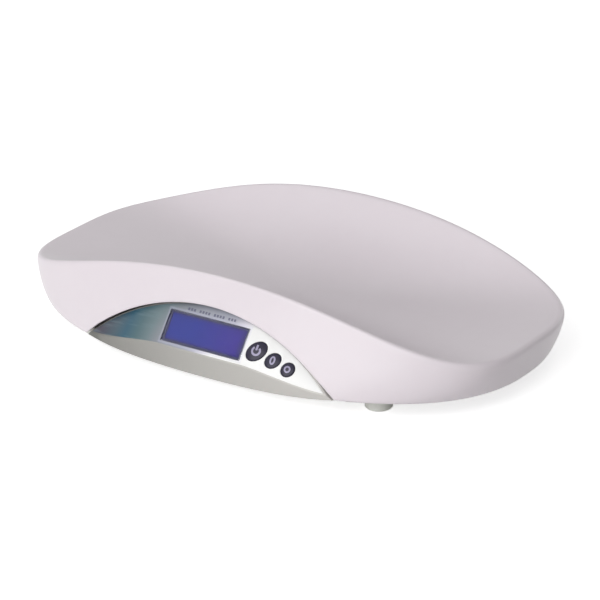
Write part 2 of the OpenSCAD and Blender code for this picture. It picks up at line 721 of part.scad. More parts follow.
// a conical contact spring, pressed together by its cell, so its turns lie close
spring_turns = 4;
module contact_spring() {
    pitch = spring_h / spring_turns;
    rotate_extrude() polygon(concat([[1.2, 0]], [for (i = [0 : spring_turns - 1]) each [
        [3.8 - 0.4 * i, pitch * i], [4.3 - 0.4 * i, pitch * (i + 0.5)]]],
        [[2.4, spring_h], [1.2, spring_h]]));
}
module battery_springs() {
    color(steel) for (i = [0 : 3]) {
        ahead = i % 2 == 0;
        translate([battery_x(i), bay_y[ahead ? 0 : 1], battery_z]) rotate([ahead ? -90 : 90, 0, 0]) {
            block([-5, -5, 0], [5, 5, contact_t]);
            translate([0, 0, contact_t - eps]) contact_spring();
        }
    }
}
module battery_plates() {
    color(steel) for (i = [0 : 3])
        translate([battery_x(i), bay_y[i % 2 == 0 ? 1 : 0], battery_z]) rotate([i % 2 == 0 ? 90 : -90, 0, 0])
            block([-5, -4, 0], [5, 4, plate_block]);
}
module battery_door() {
    color(plastic_grey) {
        difference() {
            block([-33.2, door_front + 0.3, pan_z], [33.2, door_back, ledge_z - 0.2]);
            for (y = [100 : 3 : 118]) block([-9, y, pan_z - 1], [9, y + 1.4, pan_z + 0.7]);
        }
        block([-34.9, door_front + 0.3, pan_z + 1.1], [34.9, 147.5, ledge_z - 0.2]);
    }
}

// ---- wiring ---------------------------------------------------------------
cell_route = [[-40, 0, 25], [-44, 0, 25], [-50, -4, 24.5], [-56, -11, 23], [-60, -20, 20.5],
    [-62, -30, 18.6], [-63, -45, 18], [-63, -60, 18], [-63, -75, 18], [-62, -88, 18], [-60, -98, 18.5],
    [-57, -106, 20], [-54, -112, 23.5], [-51, -117, 26.5], [-48.5, -124, 28], [-46.5, -131, 28.5],
    [-46, -137.6, 29.9], [-46, -143.1, 34.3]];
red_route = [[16, 80.5, 20], [16, 76, 20], [17, 70, 19.2], [20, 60, 18], [24, 45, 17.6], [30, 30, 17.6],
    [46, 12, 17.6], [58, -6, 17.6], [64, -25, 17.6], [64, -45, 17.6], [62, -65, 17.6], [54, -85, 17.6],
    [40, -98, 18.5], [10, -106, 22], [-8, -113, 28], [-20, -120, 34], [-28, -127, 38.5], [-34, -133, 42.5],
    [-38, -136.3, 45], [-42, -136.3, 45.8]];
function beside(route, shift) = [for (p = route) p + shift];
module load_cell_cable() { color("#3c3c40") cable(cell_route, 3); }
module battery_lead_red() { color("#b03028") cable(red_route, 1.6); }
module battery_lead_black() { color("#242426") cable(beside(red_route, [0, 0, 2]), 1.6); }
// the flat cable from the main board's socket to the key board, seen along the panel's slope
key_cable_upper = [[44, -13], [48, -13.6], [51.5, -14.4], [53.8, -13.45], [59.7, -14.35]];
key_cable_lower = [[59.6, -15.1], [54.1, -14.2], [51.6, -15.2], [47.9, -14.4], [44, -13.8]];
key_cable_y = [-2, 4];
module key_cable() {
    color("#d8d8d4") on_panel() translate([0, key_cable_y[1], 0]) rotate([90, 0, 0])
        linear_extrude(key_cable_y[1] - key_cable_y[0]) polygon(concat(key_cable_upper, key_cable_lower));
}
module cable_clips() {
    color("#efeadf") {
        for (y = [-50, -68]) translate([-63, y, chassis_top]) difference() {
            block([-3.5, -3, 0], [3.5, 3, 4.6]);
            translate([0, 0, 2]) rotate([90, 0, 0]) cylinder(d = 3.3, h = 20, center = true);
        }
    }
}

// ---- what is drawn --------------------------------------------------------
tray_shell();
tray_standoffs();
platform_frame();
cell_spacer_upper();
cell_bolts_upper();
tray_screws();
base_pan();
chassis_plate();
cell_spacer_lower();
load_cell();
gauge_cover();
cell_bolts_lower();
overload_stops();
stop_nuts();
foot_front_left();
foot_front_right();
foot_rear_left();
foot_rear_right();
foot_screws();
foot_nuts();
console_housing();
housing_screws();
fascia_panel();
display_window();
lcd_frame();
lcd_glass();
lcd_backlight();
main_board();
board_chips();
board_sockets();
buzzer();
board_screws();
key_board();
key_switches();
key_board_screws();
button_power();
button_tare();
button_unit();
battery_holder();
battery_springs();
battery_plates();
battery_1();
battery_2();
battery_3();
battery_4();
battery_door();
load_cell_cable();
key_cable();
battery_lead_red();
battery_lead_black();
cable_clips();
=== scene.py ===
"""A digital baby weighing scale: its fine shapes and finishes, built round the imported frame."""

import logging
import math
from dataclasses import dataclass, field
from enum import Enum
from typing import Callable

import bmesh
import bpy
import numpy as np
from mathutils import Matrix, Vector


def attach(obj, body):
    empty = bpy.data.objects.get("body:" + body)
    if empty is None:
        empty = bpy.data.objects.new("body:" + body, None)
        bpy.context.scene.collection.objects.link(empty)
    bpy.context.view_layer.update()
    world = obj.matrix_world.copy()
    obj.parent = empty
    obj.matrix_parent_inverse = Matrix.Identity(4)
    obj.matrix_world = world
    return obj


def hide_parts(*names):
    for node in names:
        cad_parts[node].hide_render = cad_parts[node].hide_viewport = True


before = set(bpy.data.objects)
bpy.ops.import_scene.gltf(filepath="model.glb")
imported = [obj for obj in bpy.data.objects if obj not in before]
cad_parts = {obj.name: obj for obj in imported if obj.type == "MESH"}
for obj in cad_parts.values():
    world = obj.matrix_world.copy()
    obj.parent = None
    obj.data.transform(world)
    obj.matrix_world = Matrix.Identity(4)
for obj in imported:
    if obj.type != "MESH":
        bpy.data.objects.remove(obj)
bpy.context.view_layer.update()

LOG = logging.getLogger("baby_scale")

MM = 0.001
TINY = 1e-6  # a length that counts as none
SHARP_DEG = 30.0  # edges bent more than this are edges of the form
PANEL_TILT_DEG = 51.5  # how far the console's panel leans back from lying flat
PANEL_MIDDLE = (0.0, -150.0, 51.3)  # the middle of its window
WINDOW_HALF = (47.0, 16.25)  # half the window's width and height

Pair = tuple[float, float]
Triple = tuple[float, float, float]
Faces = list[tuple[int, ...]]
Piece = bpy.types.Object
Material = bpy.types.Material
Node = bpy.types.Node
Socket = bpy.types.NodeSocket


# ---- small geometry helpers ---------------------------------------------------------------------
def superellipse(angle: np.ndarray, power: np.ndarray | float) -> np.ndarray:
    """Radius factor of a superellipse of this squareness at an outline's own angle."""
    return (np.abs(np.cos(angle)) ** power + np.abs(np.sin(angle)) ** power) ** (-1 / power)


def bend(start: np.ndarray, corner: np.ndarray, end: np.ndarray, steps: int) -> list[np.ndarray]:
    """Points of a quadratic curve that rounds a corner.

    Args:
        start: where the curve begins.
        corner: the corner it leaves out.
        end: where it ends.
        steps: number of stretches.

    Returns:
        The points, both ends included.
    """
    shares = [i / steps for i in range(steps + 1)]
    return [(1 - w) ** 2 * start + 2 * w * (1 - w) * corner + w * w * end for w in shares]


def last_place(holds: Callable[[float], bool], low: float, high: float, steps: int = 40) -> float:
    """Halves a range down to the place where a test stops holding.

    Args:
        holds: the test, which holds at low and fails at high.
        low: start of the range.
        high: end of the range.
        steps: number of halvings.

    Returns:
        The last place at which the test holds.
    """
    for _ in range(steps):
        mid = (low + high) / 2
        low, high = (mid, high) if holds(mid) else (low, mid)
    return low


def ring(count: int) -> np.ndarray:
    """Points of a unit circle, anticlockwise."""
    angles = 2 * math.pi * np.arange(count) / count
    return np.column_stack([np.cos(angles), np.sin(angles)])


def rounded_box(half_x: float, half_y: float, radius: float, steps: int = 6) -> np.ndarray:
    """Outline of a rectangle with round corners.

    Args:
        half_x: half its width.
        half_y: half its height.
        radius: corner radius.
        steps: stretches in each corner.

    Returns:
        x, y of each point, anticlockwise.
    """
    points = []
    for quarter, (sx, sy) in enumerate(((1, 1), (-1, 1), (-1, -1), (1, -1))):
        for i in range(steps + 1):
            angle = math.pi / 2 * (quarter + i / steps)
            points.append((sx * (half_x - radius) + radius * math.cos(angle),
                           sy * (half_y - radius) + radius * math.sin(angle)))
    return np.array(points)


def arc(radius: float, low_deg: float, high_deg: float, flat: float = 1.0, steps: int = 20) -> list[Pair]:
    """Points of an arc, flattened along X.

    Args:
        radius: its radius along Y.
        low_deg: angle at which it starts.
        high_deg: angle at which it ends.
        flat: radius along X as a share of the radius along Y.
        steps: number of stretches.

    Returns:
        x, y of each point.
    """
    angles = [math.radians(low_deg + (high_deg - low_deg) * i / steps) for i in range(steps + 1)]
    return [(radius * flat * math.cos(t), radius * math.sin(t)) for t in angles]


def stations(low: float, high: float, count: int) -> list[float]:
    """Places along a span, one more than count, that close up towards both ends."""
    ways = [math.sin(math.pi / 2 * (2 * i / count - 1)) for i in range(count + 1)]
    return [(low + high) / 2 + (high - low) / 2 * way for way in ways]


def at_level(outline: np.ndarray, level: float | np.ndarray) -> np.ndarray:
    """A flat outline with its height, or heights, added."""
    return np.column_stack([outline, np.broadcast_to(level, len(outline))])


def placed(points: np.ndarray, place: Matrix) -> np.ndarray:
    """Points carried from a frame of their own into the object's axes, in millimetres."""
    return np.array([place @ Vector(p) for p in points])


def grid_faces(rows: int, columns: int, wrap_rows: bool = False, wrap_columns: bool = True) -> Faces:
    """Quads over a grid of points numbered row by row.

    Args:
        rows: number of rows.
        columns: number of points in each row.
        wrap_rows: whether the last row joins the first.
        wrap_columns: whether the last column joins the first.

    Returns:
        The faces.
    """
    faces = []
    for i in range(rows if wrap_rows else rows - 1):
        for j in range(columns if wrap_columns else columns - 1):
            k, m = (i + 1) % rows, (j + 1) % columns
            faces.append((i * columns + j, k * columns + j, k * columns + m, i * columns + m))
    return faces


def make_object(name: str, points: np.ndarray, faces: Faces, crease_deg: float = 40.0) -> Piece:
    """Makes a smooth-shaded object from points in millimetres.

    Args:
        name: the piece's name.
        points: one row of x, y, z for each point, in millimetres.
        faces: indices of each face's points.
        crease_deg: edges bent more than this stay sharp.

    Returns:
        The new object, linked to the scene.
    """
    mesh = bpy.data.meshes.new(name)
    mesh.from_pydata((np.asarray(points, float) * MM).tolist(), [], faces)
    piece = bpy.data.objects.new(name, mesh)
    bpy.context.scene.collection.objects.link(piece)
    tidy_mesh(piece, crease_deg)
    return piece


def tidy_mesh(piece: Piece, crease_deg: float) -> None:
    """Welds doubles, turns the faces outwards and shades them smooth.

    Args:
        piece: the object whose mesh is tidied.
        crease_deg: edges bent more than this stay sharp.
    """
    work = bmesh.new()
    work.from_mesh(piece.data)
    bmesh.ops.remove_doubles(work, verts=work.verts, dist=TINY)
    bmesh.ops.dissolve_degenerate(work, edges=work.edges, dist=TINY)
    bmesh.ops.recalc_face_normals(work, faces=work.faces)
    work.to_mesh(piece.data)
    work.free()
    piece.data.shade_smooth()
    piece.data.set_sharp_from_angle(angle=math.radians(crease_deg))


def loft(name: str, loops: list[np.ndarray], crease_deg: float = 40.0) -> Piece:
    """A skin through a row of loops, closed by a flat face at each end.

    Args:
        name: the piece's name.
        loops: the loops, each with the same number of points, in millimetres.
        crease_deg: edges bent more than this stay sharp.

    Returns:
        The new object.
    """
    count, total = len(loops[0]), len(loops[0]) * len(loops)
    faces = grid_faces(len(loops), count)
    faces += [tuple(range(count)), tuple(range(total - 1, total - count - 1, -1))]
    return make_object(name, np.concatenate(loops), faces, crease_deg)


def poled_loft(name: str, loops: list[np.ndarray], poles: np.ndarray, crease_deg: float) -> Piece:
    """A skin through a row of loops, closed by a fan of triangles at each end.

    Args:
        name: the piece's name.
        loops: the loops, each with the same number of points, in millimetres.
        poles: the two points in which the fans meet, for the first loop and the last.
        crease_deg: edges bent more than this stay sharp.

    Returns:
        The new object.
    """
    rows, count = len(loops), len(loops[0])
    faces = grid_faces(rows, count)
    for pole, first in ((rows * count, 0), (rows * count + 1, (rows - 1) * count)):
        faces += [(pole, first + i, first + (i + 1) % count) for i in range(count)]
    return make_object(name, np.concatenate([*loops, poles]), faces, crease_deg)


def prism(name: str, outline: np.ndarray, low: float, high: float, place: Matrix) -> Piece:
    """A straight prism over a flat outline.

    Args:
        name: the piece's name.
        outline: x, y of each corner, in millimetres.
        low: bottom level in the prism's own frame.
        high: top level.
        place: where that frame lies, in millimetres.

    Returns:
        The new object.
    """
    return loft(name, [placed(at_level(outline, level), place) for level in (low, high)])


class Joint(Enum):
    """What an exact boolean does with the other meshes."""

    CUT = "DIFFERENCE"
    ADD = "UNION"


def join(piece: Piece, others: list[Piece], how: Joint) -> None:
    """Runs the same exact boolean against each of the others and removes them.

    Args:
        piece: the object that is changed; it keeps its name.
        others: closed meshes.
        how: whether they are cut out or added.
    """
    for other in others:
        step = piece.modifiers.new("step", "BOOLEAN")
        step.operation = how.value
        step.solver = "EXACT"
        step.object = other
    graph = bpy.context.evaluated_depsgraph_get()
    made = bpy.data.meshes.new_from_object(piece.evaluated_get(graph))
    piece.modifiers.clear()
    piece.data = made
    for other in others:
        bpy.data.objects.remove(other)
    tidy_mesh(piece, SHARP_DEG)


def paint(piece: Piece, material: Material) -> Piece:
    """Gives a piece this material alone.

    Args:
        piece: the object.
        material: its material.

    Returns:
        The same object.
    """
    piece.data.materials.clear()
    piece.data.materials.append(material)
    return piece


def soften(name: str, width: float) -> Piece:
    """Breaks the sharp edges of a carried-over solid, as a mould or a deburring tool does.

    Args:
        name: the node's name.
        width: width of the broken edge, in millimetres.

    Returns:
        The node's object.
    """
    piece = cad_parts[name]
    if "custom_normal" in piece.data.attributes:
        piece.data.attributes.remove(piece.data.attributes["custom_normal"])
    piece.data.shade_smooth()
    weld = piece.modifiers.new("weld", "WELD")
    weld.merge_threshold = TINY
    edge = piece.modifiers.new("edges", "BEVEL")
    edge.limit_method = "ANGLE"
    edge.angle_limit = math.radians(SHARP_DEG)
    edge.width = width * MM
    edge.segments = 2
    edge.use_clamp_overlap = True
    even = piece.modifiers.new("normals", "WEIGHTED_NORMAL")
    even.mode = "FACE_AREA"
    even.weight = 90
    return piece


def dress(node: str, material: Material, edge: float = 0.0) -> Piece:
    """Gives a carried-over solid its finish and broken edges.

    Args:
        node: the node's name.
        material: its material.
        edge: width of the broken edges in millimetres; 0 leaves them.

    Returns:
        The node's object.
    """
    piece = paint(soften(node, edge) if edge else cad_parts[node], material)
    LOG.info("%s: dressed", node)
    return piece


# ---- shader groups --------------------------------------------------------------------------------
class Graph:
    """A thin wrapper round a node tree that places and links nodes."""

    def __init__(self, tree: bpy.types.NodeTree) -> None:
        """Keeps the tree; its default nodes are removed."""
        self.tree = tree
        tree.nodes.clear()

    def node(self, kind: str, settings: dict | None = None, **inputs: object) -> Node:
        """Adds a node.

        Args:
            kind: the node's type, such as ShaderNodeMath.
            settings: its own properties.
            **inputs: values or sockets for its inputs, named as in feed.

        Returns:
            The node.
        """
        made = self.tree.nodes.new(kind)
        for key, value in (settings or {}).items():
            setattr(made, key, value)
        return self.feed(made, **inputs)

    def feed(self, node: Node, **inputs: object) -> Node:
        """Links a node's inputs to other sockets, or sets their plain values.

        Args:
            node: the node.
            **inputs: values or sockets for its inputs; an underscore in a name stands for a blank,
                and i0, i1 ... name inputs by number.

        Returns:
            The same node.
        """
        for key, value in inputs.items():
            by_number = key[0] == "i" and key[1:].isdigit()
            socket = node.inputs[int(key[1:]) if by_number else key.replace("_", " ")]
            if isinstance(value, Socket):
                self.tree.links.new(value, socket)
            else:
                socket.default_value = value
        return node

    def where(self) -> Socket:
        """The object's own coordinates."""
        return self.node("ShaderNodeTexCoord").outputs["Object"]

    def axes(self, where: object) -> tuple[Socket, Socket, Socket]:
        """The three parts of a vector."""
        return tuple(self.node("ShaderNodeSeparateXYZ", None, Vector=where).outputs)

    def math(self, operation: str, *values: object) -> Socket:
        """The output of a Math node with these inputs."""
        inputs = {f"i{i}": value for i, value in enumerate(values)}
        return self.node("ShaderNodeMath", {"operation": operation}, **inputs).outputs[0]

    def plus(self, first: object, second: object) -> Socket:
        """The sum of two values."""
        return self.math("ADD", first, second)

    def minus(self, first: object, second: object) -> Socket:
        """The difference of two values."""
        return self.math("SUBTRACT", first, second)

    def times(self, first: object, second: object) -> Socket:
        """The product of two values."""
        return self.math("MULTIPLY", first, second)

    def off(self, value: object, middle: float = 0.0) -> Socket:
        """How far a value is from a middle."""
        return self.math("ABSOLUTE", self.minus(value, middle) if middle else value)

    def mix(self, factor: object, first: object, second: object) -> Socket:
        """The colour output of a colour Mix node."""
        settings = {"data_type": "RGBA", "blend_type": "MIX"}
        return self.node("ShaderNodeMix", settings, i0=factor, i6=first, i7=second).outputs[2]

    def noise(self, where: object, scale: object, detail: float = 2.0, roughness: float = 0.5) -> Socket:
        """The value output of a Noise Texture."""
        return self.node("ShaderNodeTexNoise", None, Vector=where, Scale=scale, Detail=detail,
                         Roughness=roughness).outputs[0]

    def span(self, value: object, low: float, high: float, to_low: float = 0.0,
             to_high: float = 1.0) -> Socket:
        """A value carried from one range to another and held inside it.

        Args:
            value: the value.
            low: start of its range.
            high: end of its range.
            to_low: what the start becomes.
            to_high: what the end becomes.

        Returns:
            The new value.
        """
        made = self.node("ShaderNodeMapRange", {"clamp": True}, i0=value, i1=low, i2=high,
                         i3=to_low, i4=to_high)
        return made.outputs[0]

    def within(self, value: object, reach: float, soft: float) -> Socket:
        """1 up to a reach in millimetres and 0 beyond a soft edge of this width."""
        return self.span(value, reach * MM, (reach + soft) * MM, 1.0, 0.0)

    def bump(self, height: object, distance: float, strength: float = 1.0) -> Socket:
        """The normal of a Bump node whose full height is this many millimetres."""
        return self.node("ShaderNodeBump", None, Strength=strength, Distance=distance * MM,
                         Height=height).outputs[0]

    def direct_ray(self) -> Socket:
        """1 for rays that see the studio itself: from the camera, through glass or off a gloss."""
        seen = self.node("ShaderNodeLightPath").outputs
        direct = self.math("MAXIMUM", seen["Is Camera Ray"], seen["Is Transmission Ray"])
        return self.math("MAXIMUM", direct, seen["Is Glossy Ray"])


class Effect(Enum):
    """The shader groups that several finishes share."""

    DRIFT = "tone_drift"
    GRAIN = "moulded_grain"
    BRUSHED = "brushed_lines"
    DUST = "settled_dust"


@dataclass
class EffectLibrary:
    """Builds each shared shader group once and places it in materials."""

    built: dict[Effect, bpy.types.NodeTree] = field(default_factory=dict)

    def place(self, graph: Graph, effect: Effect, **inputs: object) -> Node:
        """Adds a group node for an effect.

        Args:
            graph: the material's graph.
            effect: which group.
            **inputs: values or sockets for its inputs.

        Returns:
            The group node.
        """
        if effect not in self.built:
            self.built[effect] = getattr(self, "_" + effect.value)()
        made = graph.tree.nodes.new("ShaderNodeGroup")
        made.node_tree = self.built[effect]
        return graph.feed(made, **inputs)

    def relief(self, graph: Graph, shader: Node, effect: Effect, depth: float, **inputs: object) -> None:
        """Gives a shader the gloss and the bump of a group that puts out both.

        Args:
            graph: the material's graph.
            shader: the shader node.
            effect: which group.
            depth: full height of the bump, in millimetres.
            **inputs: values or sockets for the group's inputs.
        """
        made = self.place(graph, effect, **inputs)
        graph.feed(shader, Roughness=made.outputs["Roughness"],
                   Normal=graph.bump(made.outputs["Height"], depth))

    @staticmethod
    def _start(effect: Effect, inputs: dict[str, object], outputs: list[str]) -> tuple[Graph, Node, Node]:
        """Makes an empty group.

        Args:
            effect: the group's name.
            inputs: name and default of each input; a default of one number makes a plain value.
            outputs: name of each output; the one named Color is a colour.

        Returns:
            The graph, its input node and its output node.
        """
        tree = bpy.data.node_groups.new(effect.value, "ShaderNodeTree")
        graph = Graph(tree)
        for name, default in inputs.items():
            kind = "NodeSocketFloat" if isinstance(default, float) else "NodeSocketColor"
            socket = tree.interface.new_socket(name=name, in_out="INPUT", socket_type=kind)
            socket.default_value = default
        for name in outputs:
            kind = "NodeSocketColor" if name == "Color" else "NodeSocketFloat"
            tree.interface.new_socket(name=name, in_out="OUTPUT", socket_type=kind)
        return graph, graph.node("NodeGroupInput"), graph.node("NodeGroupOutput")

    def _tone_drift(self) -> bpy.types.NodeTree:
        """A slow change of tone over a surface: a little lighter here, a little warmer there."""
        broad_share, fine_share, finer = 0.7, 0.3, 9.0
        graph, given, result = self._start(
            Effect.DRIFT, {"Color": (0.8, 0.8, 0.8, 1), "Tint": (1, 1, 1, 1), "Amount": 0.05, "Scale": 8.0},
            ["Color"])
        where, scale = graph.where(), given.outputs["Scale"]
        broad = graph.noise(where, scale, 3.0)
        fine = graph.noise(where, graph.times(scale, finer), 4.0)
        blend = graph.plus(graph.times(broad, broad_share), graph.times(fine, fine_share))
        share = graph.times(graph.span(blend, 0.35, 0.65), given.outputs["Amount"])
        graph.feed(result, Color=graph.mix(share, given.outputs["Color"], given.outputs["Tint"]))
        return graph.tree

    def _moulded_grain(self) -> bpy.types.NodeTree:
        """The spark-eroded grain of a moulding: a fine pebbled height and a slight unevenness of gloss."""
        pebble_share, swell_share, swell_scale, smear_scale = 0.6, 0.4, 0.12, 14.0
        graph, given, result = self._start(
            Effect.GRAIN, {"Scale": 2000.0, "Roughness": 0.4, "Spread": 0.08}, ["Height", "Roughness"])
        where, scale = graph.where(), given.outputs["Scale"]
        pebbles = graph.node("ShaderNodeTexVoronoi", {"feature": "SMOOTH_F1"}, Vector=where,
                             Scale=scale, Smoothness=0.6).outputs["Distance"]
        swell = graph.noise(where, graph.times(scale, swell_scale), 3.0)
        height = graph.plus(graph.times(pebbles, pebble_share), graph.times(swell, swell_share))
        smear = graph.minus(graph.noise(where, smear_scale, 5.0, 0.6), 0.5)
        rough = graph.plus(given.outputs["Roughness"], graph.times(smear, given.outputs["Spread"]))
        graph.feed(result, Height=height, Roughness=rough)
        return graph.tree

    def _brushed_lines(self) -> bpy.types.NodeTree:
        """Rolling or milling lines along X on bare metal."""
        graph, given, result = self._start(
            Effect.BRUSHED, {"Scale": 900.0, "Stretch": 0.04, "Roughness": 0.35, "Spread": 0.2},
            ["Height", "Roughness"])
        squeeze = graph.node("ShaderNodeCombineXYZ", None, X=given.outputs["Stretch"], Y=1.0, Z=1.0)
        drawn = graph.node("ShaderNodeVectorMath", {"operation": "MULTIPLY"}, i0=graph.where(),
                           i1=squeeze.outputs[0]).outputs[0]
        lines = graph.noise(drawn, given.outputs["Scale"], 2.0)
        change = graph.times(graph.minus(lines, 0.5), given.outputs["Spread"])
        graph.feed(result, Height=lines, Roughness=graph.plus(given.outputs["Roughness"], change))
        return graph.tree

    def _settled_dust(self) -> bpy.types.NodeTree:
        """A breath of dust where a surface looks up, broken by noise."""
        dust = (0.55, 0.53, 0.50, 1)
        graph, given, result = self._start(
            Effect.DUST, {"Color": (0.8, 0.8, 0.8, 1), "Amount": 0.05, "Scale": 60.0}, ["Color"])
        normal = graph.node("ShaderNodeNewGeometry").outputs["Normal"]
        lying = graph.span(graph.axes(normal)[2], 0.3, 1.0)
        specks = graph.span(graph.noise(graph.where(), given.outputs["Scale"], 6.0, 0.7), 0.45, 0.7)
        mask = graph.times(graph.times(lying, specks), given.outputs["Amount"])
        graph.feed(result, Color=graph.mix(mask, given.outputs["Color"], dust))
        return graph.tree


EFFECTS = EffectLibrary()


def new_material(name: str) -> tuple[Material, Graph, Node]:
    """Makes a material that holds a lone Principled BSDF.

    Args:
        name: the material's name.

    Returns:
        The material, its graph and the shader node.
    """
    material = bpy.data.materials.new(name)
    material.use_nodes = True
    graph = Graph(material.node_tree)
    shader = graph.node("ShaderNodeBsdfPrincipled")
    graph.node("ShaderNodeOutputMaterial", None, Surface=shader.outputs[0])
    return material, graph, shader


# ---- finishes ---------------------------------------------------------------------------------------
@dataclass(frozen=True)
class Moulding:
    """A moulded plastic or rubber with its grain, its slow drift of tone and a breath of dust."""

    name: str
    color: Triple
    tint: Triple
    roughness: float
    grain: float = 1500.0
    depth: float = 0.01
    drift: float = 0.3
    dust: float = 0.03
    coat: float = 0.0
    spread: float = 0.08
    specular: float = 0.5

    def material(self) -> Material:
        """Builds the material."""
        material, graph, shader = new_material(self.name)
        tone = EFFECTS.place(graph, Effect.DRIFT, Color=(*self.color, 1), Tint=(*self.tint, 1),
                             Amount=self.drift, Scale=9.0)
        dusty = EFFECTS.place(graph, Effect.DUST, Color=tone.outputs["Color"], Amount=self.dust)
        EFFECTS.relief(graph, shader, Effect.GRAIN, self.depth, Scale=self.grain,
                       Roughness=self.roughness, Spread=self.spread)
        graph.feed(shader, Base_Color=dusty.outputs["Color"], Coat_Weight=self.coat,
                   Coat_Roughness=0.12, Specular_IOR_Level=self.specular)
        return material


@dataclass(frozen=True)
class Metal:
    """A bare or plated metal with its working lines and a slight tarnish."""

    name: str
    color: Triple
    tarnish: Triple
    roughness: float
    lines: float = 900.0
    depth: float = 0.01
    drift: float = 0.35

    def material(self) -> Material:
        """Builds the material."""
        material, graph, shader = new_material(self.name)
        tone = EFFECTS.place(graph, Effect.DRIFT, Color=(*self.color, 1), Tint=(*self.tarnish, 1),
                             Amount=self.drift, Scale=25.0)
        EFFECTS.relief(graph, shader, Effect.BRUSHED, self.depth, Scale=self.lines,
                       Roughness=self.roughness)
        graph.feed(shader, Base_Color=tone.outputs["Color"], Metallic=1.0)
        return material


